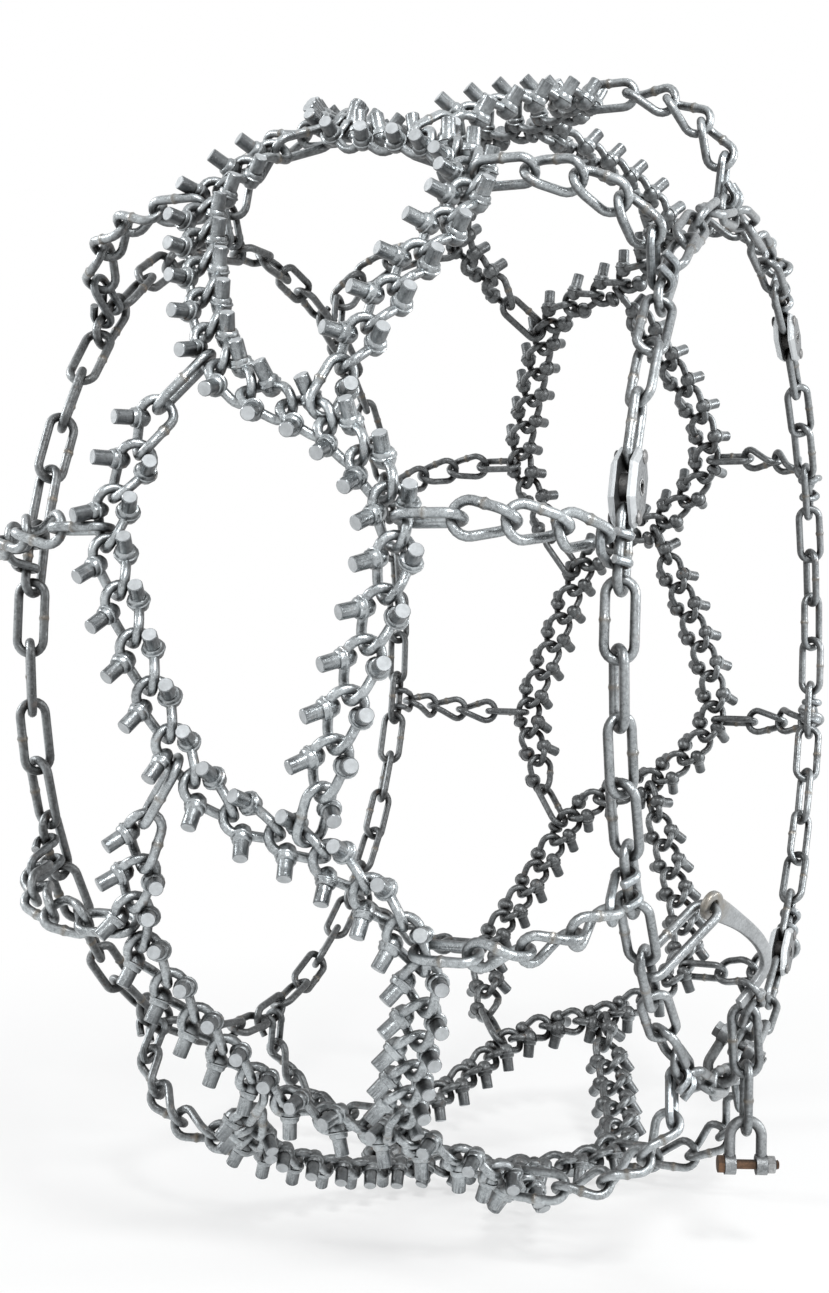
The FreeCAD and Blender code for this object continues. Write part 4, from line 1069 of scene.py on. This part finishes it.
LEVER_STEEL = steel("forged_lever", colour(0.21, 0.222, 0.23), colour(0.56, 0.585, 0.60), 0.24, 0.88,
                    grain=0.7, dents=1.5, grime_and_shade=0.55, rust=0.3, local=worn_eye)
lever = Stack().add(placed(lever_arm(), LEVER_FRAME), False).add(placed(lever_eye(), LEVER_FRAME))
dress(lever.piece("forged_lever", [LEVER_STEEL], poles=True), "lever", ["fastener_lever"])

# %% [markdown]
# ## Bolts and nuts
#
# Both shackles are closed by a bolt and a nut. The corners of a hexagon are cut back by a shallow cone,
# which leaves curved edges that a bevel can't give. A thread could be a Screw modifier, but as a grid it
# is one helix: the radius goes up and down by the depth of the thread as the height and the turn go on
# together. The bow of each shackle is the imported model's own, with a better finish.

# %% Bolts and nuts
BOLT_RADIUS, BOLT_HEAD, BOLT_HEAD_HEIGHT = 3.5, 12.0, 5.0
NUT_ACROSS, NUT_HEIGHT, NUT_START, BOLT_LENGTH = 12.0, 6.0, 31.04, 40.04
THREAD_PITCH, THREAD_DEPTH, THREAD_START, THREAD_ROWS = 1.25, 0.55, 26.0, 6.0
BOLT_FIT, MOUTH, BOLT_POINT = 0.02, 0.5, 0.9
HEX_SIDES = 36
FACE_SHARE = 0.97
RIM_DROP = 0.6
CHAMFER_SLOPE = math.tan(math.radians(28.0))


def hexagon_radius(across):
    """Distance from the axis to the flat at each column: half the width over cos(v mod 60 - 30)."""
    angle = np.arange(HEX_SIDES) * 360.0 / HEX_SIDES
    return across / 2.0 / np.cos(np.radians(angle % 60.0 - 30.0))


def turned_rows(rows):
    """Grid (rows, columns, 3) from rows of (height, radius), each a number or one for every column."""
    ring = circle(HEX_SIDES)
    height = np.stack([np.broadcast_to(row[0], HEX_SIDES) for row in rows])
    radius = np.stack([np.broadcast_to(row[1], HEX_SIDES) for row in rows])
    return np.stack([radius * ring[:, 0], radius * ring[:, 1], height], -1)


def head_skin(across, low, high, bore=None):
    """Hexagon with both rims cut back by slope * (r - cone); a nut has a bore, a head is closed."""
    flat = hexagon_radius(across)
    cone = across / 2.0 * FACE_SHARE
    drop = CHAMFER_SLOPE * np.maximum(flat - cone, 0.0)
    rows = [(low, cone), (low + drop, flat), (high - drop, flat), (high, cone)]
    if bore is None:
        return turned_rows([(low, 0.0)] + rows + [(high, 0.0)]), False
    rows += [(high, bore + MOUTH), (high - RIM_DROP, bore), (low + RIM_DROP, bore), (low, bore + MOUTH)]
    return turned_rows(rows), True


def shank_skin():
    """Smooth shank, then the thread: r = R - depth * |2 frac(h / pitch - v / turn) - 1|."""
    smooth = [(0.0, BOLT_RADIUS), (THREAD_START - RIM_DROP, BOLT_RADIUS)]
    turn = np.arange(HEX_SIDES) / HEX_SIDES
    heights = np.arange(THREAD_START, BOLT_LENGTH - RIM_DROP, THREAD_PITCH / THREAD_ROWS)
    thread = [(h, BOLT_RADIUS - THREAD_DEPTH * np.abs(2.0 * ((h / THREAD_PITCH - turn) % 1.0) - 1.0))
              for h in heights]
    end = [(BOLT_LENGTH, BOLT_RADIUS - BOLT_POINT), (BOLT_LENGTH, 0.0)]
    return turned_rows([(0.0, 0.0)] + smooth + thread + end)


OFF_AXIS = (0.3, 0.2, 1.0)  # no bolt lies along it
BOLTS = {"shackle": ("net", (-30.117, -214.547, -296.737), (-0.05035, -0.86682, -0.49607), SHACKLE_STEEL,
                     SHACKLE_STEEL, "forged_steel"),
         "tail_shackle": ("tail_end", (-105.234, -234.822, -378.055), (0.37858, -0.92557, 0.0), RUSTY_STEEL,
                          PALE_STEEL, "rusty_steel")}
for name, (body, origin, along, bolt_finish, nut_finish, slot) in BOLTS.items():
    where = frame_of(origin, np.cross(along, OFF_AXIS), along)
    bolt = Stack().add(placed(head_skin(BOLT_HEAD, -BOLT_HEAD_HEIGHT, 0.0)[0], where), False)
    bolt.add(placed(shank_skin(), where), False)
    dress(bolt.piece(name + "_hex_bolt", [bolt_finish], 30.0, poles=True), body, [name + "_bolt"])
    nut, closed = head_skin(NUT_ACROSS, NUT_START, NUT_START + NUT_HEIGHT, BOLT_RADIUS + BOLT_FIT)
    dress(Stack().add(placed(nut, where), closed).piece(name + "_hex_nut", [nut_finish], 30.0), body,
          [name + "_nut"])

# %% [markdown]
# ## Tightening cams
#
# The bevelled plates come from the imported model, because flat faces and sharp bevels are right as they
# are. Their flats keep the grey skin of the forging and their bevels are ground bright. That could be two
# materials on chosen faces, but a node's mesh isn't touched, so the finish asks which way the surface
# faces. Riveting leaves a dome on every pin, and the key's socket has a dished rim. Both are outlines
# turned round the pin's axis.

# %% Cams
CAM_GAP, CAM_PLATE = 8.0, 5.0
GROUND_STEEL = colour(0.62, 0.645, 0.66)


def bright_bevels(start, place, tint):
    """Brighter steel wherever the surface doesn't face along Y."""
    facing = start.node("SeparateXYZ", {0: start.node("TexCoord", out="Normal")}, out="Y")
    flat = start.sum("ABSOLUTE", facing)
    bevel = 1.0 - flat.ramp(0.90, 0.97)
    worn = (bevel * (0.75 + 0.4 * place.noise(420.0, 3.0))).clamped()
    return worn.mix(tint, GROUND_STEEL)


CAM_STEEL = steel("forged_cam", colour(0.12, 0.126, 0.13), colour(0.34, 0.355, 0.365), 0.36, 0.85,
                  grain=1.3, dents=1.2, rust=0.15, local=bright_bevels)
DRUM_STEEL = steel("turned_drum", colour(0.10, 0.10, 0.10), colour(0.33, 0.33, 0.33), 0.30, 0.9)
CAD_FINISHES = {"cam_plates": CAM_STEEL, "cam_pins": DRUM_STEEL, "cam_1_drum": DRUM_STEEL,
                "cam_2_drum": DRUM_STEEL, "cam_3_drum": DRUM_STEEL, "shackle_bow": SHACKLE_STEEL,
                "tail_shackle_bow": SHACKLE_STEEL}
for node, finish in CAD_FINISHES.items():
    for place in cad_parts[node].material_slots:
        place.material = finish

# Radius and height over the plate, from the rim to the middle
DOME = [(0.0, -0.15), (4.75, -0.15), (4.7, 0.35), (3.9, 1.0), (2.4, 1.45), (0.0, 1.6)]
KEY_RIM = [(5.45, -0.3), (5.45, 0.30), (5.1, 0.55), (4.6, 0.45), (4.45, -0.3)]
DOME_SIDES, RIM_SIDES = 16, 24


def turned_ring(rows, sides):
    """Grid (r cos v, r sin v, h) from rows of (radius, height), from the outside inwards."""
    ring = circle(sides)
    radius, height = np.array(rows)[:, 0, None], np.array(rows)[:, 1, None]
    height = np.broadcast_to(height, (len(rows), sides))
    return np.stack([radius * ring[:, 0], radius * ring[:, 1], height], -1)


domes = Stack()
for number, slot in enumerate(CAM_SLOTS):
    middle, along = cam_middle(slot)
    for face in (-1.0, 1.0):
        out = np.array([0.0, face, 0.0])
        for end in (-1.0, 1.0):
            top = middle + along * end * CAM_REACH + out * (CAM_GAP / 2.0 + CAM_PLATE)
            domes.add(placed(turned_ring(DOME, DOME_SIDES), frame_of(top, along, out)), False)
    outwards = np.array([0.0, -1.0, 0.0])
    rim_at = middle + outwards * (CAM_GAP / 2.0 + CAM_PLATE)
    rim = Stack().add(placed(turned_ring(KEY_RIM, RIM_SIDES), frame_of(rim_at, along, outwards)))
    label = str(number + 1)
    dress(rim.piece("key_rim_" + label, [PALE_STEEL]), "cam_" + label + "_rotor")
dress(domes.piece("rivet_domes", [DRUM_STEEL], poles=True), "net")

# %% [markdown]
# ## Floor, light and background
#
# The chain stands on a plain pale floor, which is only a stage and no part of it. The floor could be
# white through more light, but that would bleach the steel. So it is a mix of a matt surface, which shows
# the shadow, and of plain white, which takes over away from the chain.

# %% Floor
FLOOR_GAP = 0.0015
FLOOR_RADIUS, FLOOR_SIDES = 30.0, 64
SHADOW_REACH, WHITE_REACH = 0.45, 1.25
WHITE = colour(1.0, 1.0, 1.0)
floor_mesh = bpy.data.meshes.new("floor")
edge = circle(FLOOR_SIDES) * FLOOR_RADIUS
floor_mesh.from_pydata([(x, y, cad_low.z - FLOOR_GAP) for x, y in edge], [], [tuple(range(FLOOR_SIDES))])
floor = bpy.data.objects.new("floor", floor_mesh)
bpy.context.scene.collection.objects.link(floor)


def pale_floor():
    """Matt floor that keeps the shadow: its share of plain white is 0.62 + 0.38 ramp(distance)."""
    material = bpy.data.materials.new("pale_floor")
    material.use_nodes = True
    tree = material.node_tree
    tree.nodes.remove(tree.nodes["Principled BSDF"])
    start = Pattern(tree)
    place = start.node("TexCoord", out="Object")
    away = place.node("VectorMath", {0: place, 1: (0.0, 0.0, cad_low.z)}, {"operation": "DISTANCE"},
                      out="Value")
    share = 0.62 + 0.38 * away.ramp(SHADOW_REACH, WHITE_REACH)
    speckle = place.noise(900.0, 2.0) * 0.3
    pale = speckle.mix(colour(0.98, 0.98, 0.97), colour(0.94, 0.94, 0.93))
    matt = start.node("BsdfDiffuse", {"Color": pale})
    white = start.node("Emission", {"Color": WHITE, "Strength": 1.0})
    both = start.node("MixShader", {0: share, 1: matt, 2: white})
    tree.links.new(both.socket, tree.nodes["Material Output"].inputs["Surface"])
    return material


floor_mesh.materials.append(pale_floor())
print("the floor lies", round(FLOOR_GAP * 1000.0, 1), "mm under the lowest point")

# %% [markdown]
# Round wire is seen by its highlights, so the lamps are discs large enough to draw a long soft line on
# every link: a key light from the upper left, and two weaker ones that open the shadows. A world of one
# colour would do for the background, but as a light it would be too strong. Light Path tells the rays
# apart: the world is white to the camera and in reflections, and a quieter, cooler grey as a light.

# %% Lamps and world
LAMPS = [("key_lamp", (-2.3, -1.5, 2.3), 0.8, 68.0), ("side_lamp", (-0.9, 2.6, 1.5), 0.9, 28.0),
         ("fill_lamp", (0.6, -2.9, 0.9), 1.0, 32.0)]
for name, place, size, power in LAMPS:
    lamp = bpy.data.lights.new(name, "AREA")
    lamp.shape, lamp.size, lamp.energy = "DISK", size, power
    holder = bpy.data.objects.new(name, lamp)
    holder.location = place
    holder.rotation_euler = Vector(place).to_track_quat("Z", "Y").to_euler()
    bpy.context.scene.collection.objects.link(holder)

world = bpy.data.worlds.new("studio")
bpy.context.scene.world = world
world.use_nodes = True
world.node_tree.nodes.clear()
start = Pattern(world.node_tree)
path = world.node_tree.nodes.new("ShaderNodeLightPath")
rays = ("Is Camera Ray", "Is Glossy Ray", "Is Transmission Ray")
seen = [Pattern(world.node_tree, path.outputs[ray]) for ray in rays]
shown = (seen[0] + seen[1] + seen[2]).clamped()
quiet = start.node("Background", {"Color": colour(0.95, 0.97, 1.0), "Strength": 0.5})
white = start.node("Background", {"Color": WHITE, "Strength": 1.0})
mixed = start.node("MixShader", {0: shown, 1: quiet, 2: white})
output = world.node_tree.nodes.new("ShaderNodeOutputWorld")
world.node_tree.links.new(mixed.socket, output.inputs["Surface"])
bpy.context.scene.view_settings.view_transform = "Standard"
print("lamps:", ", ".join(name for name, *_ in LAMPS))

# %% [markdown]
# ## Measure and finish
#
# The dressed chain is meant to keep the imported model's size. The last line prints the imported
# model's box.

# %% Measure and finish
print("CAD box", [round(v, 4) for v in (*cad_low, *cad_high)])
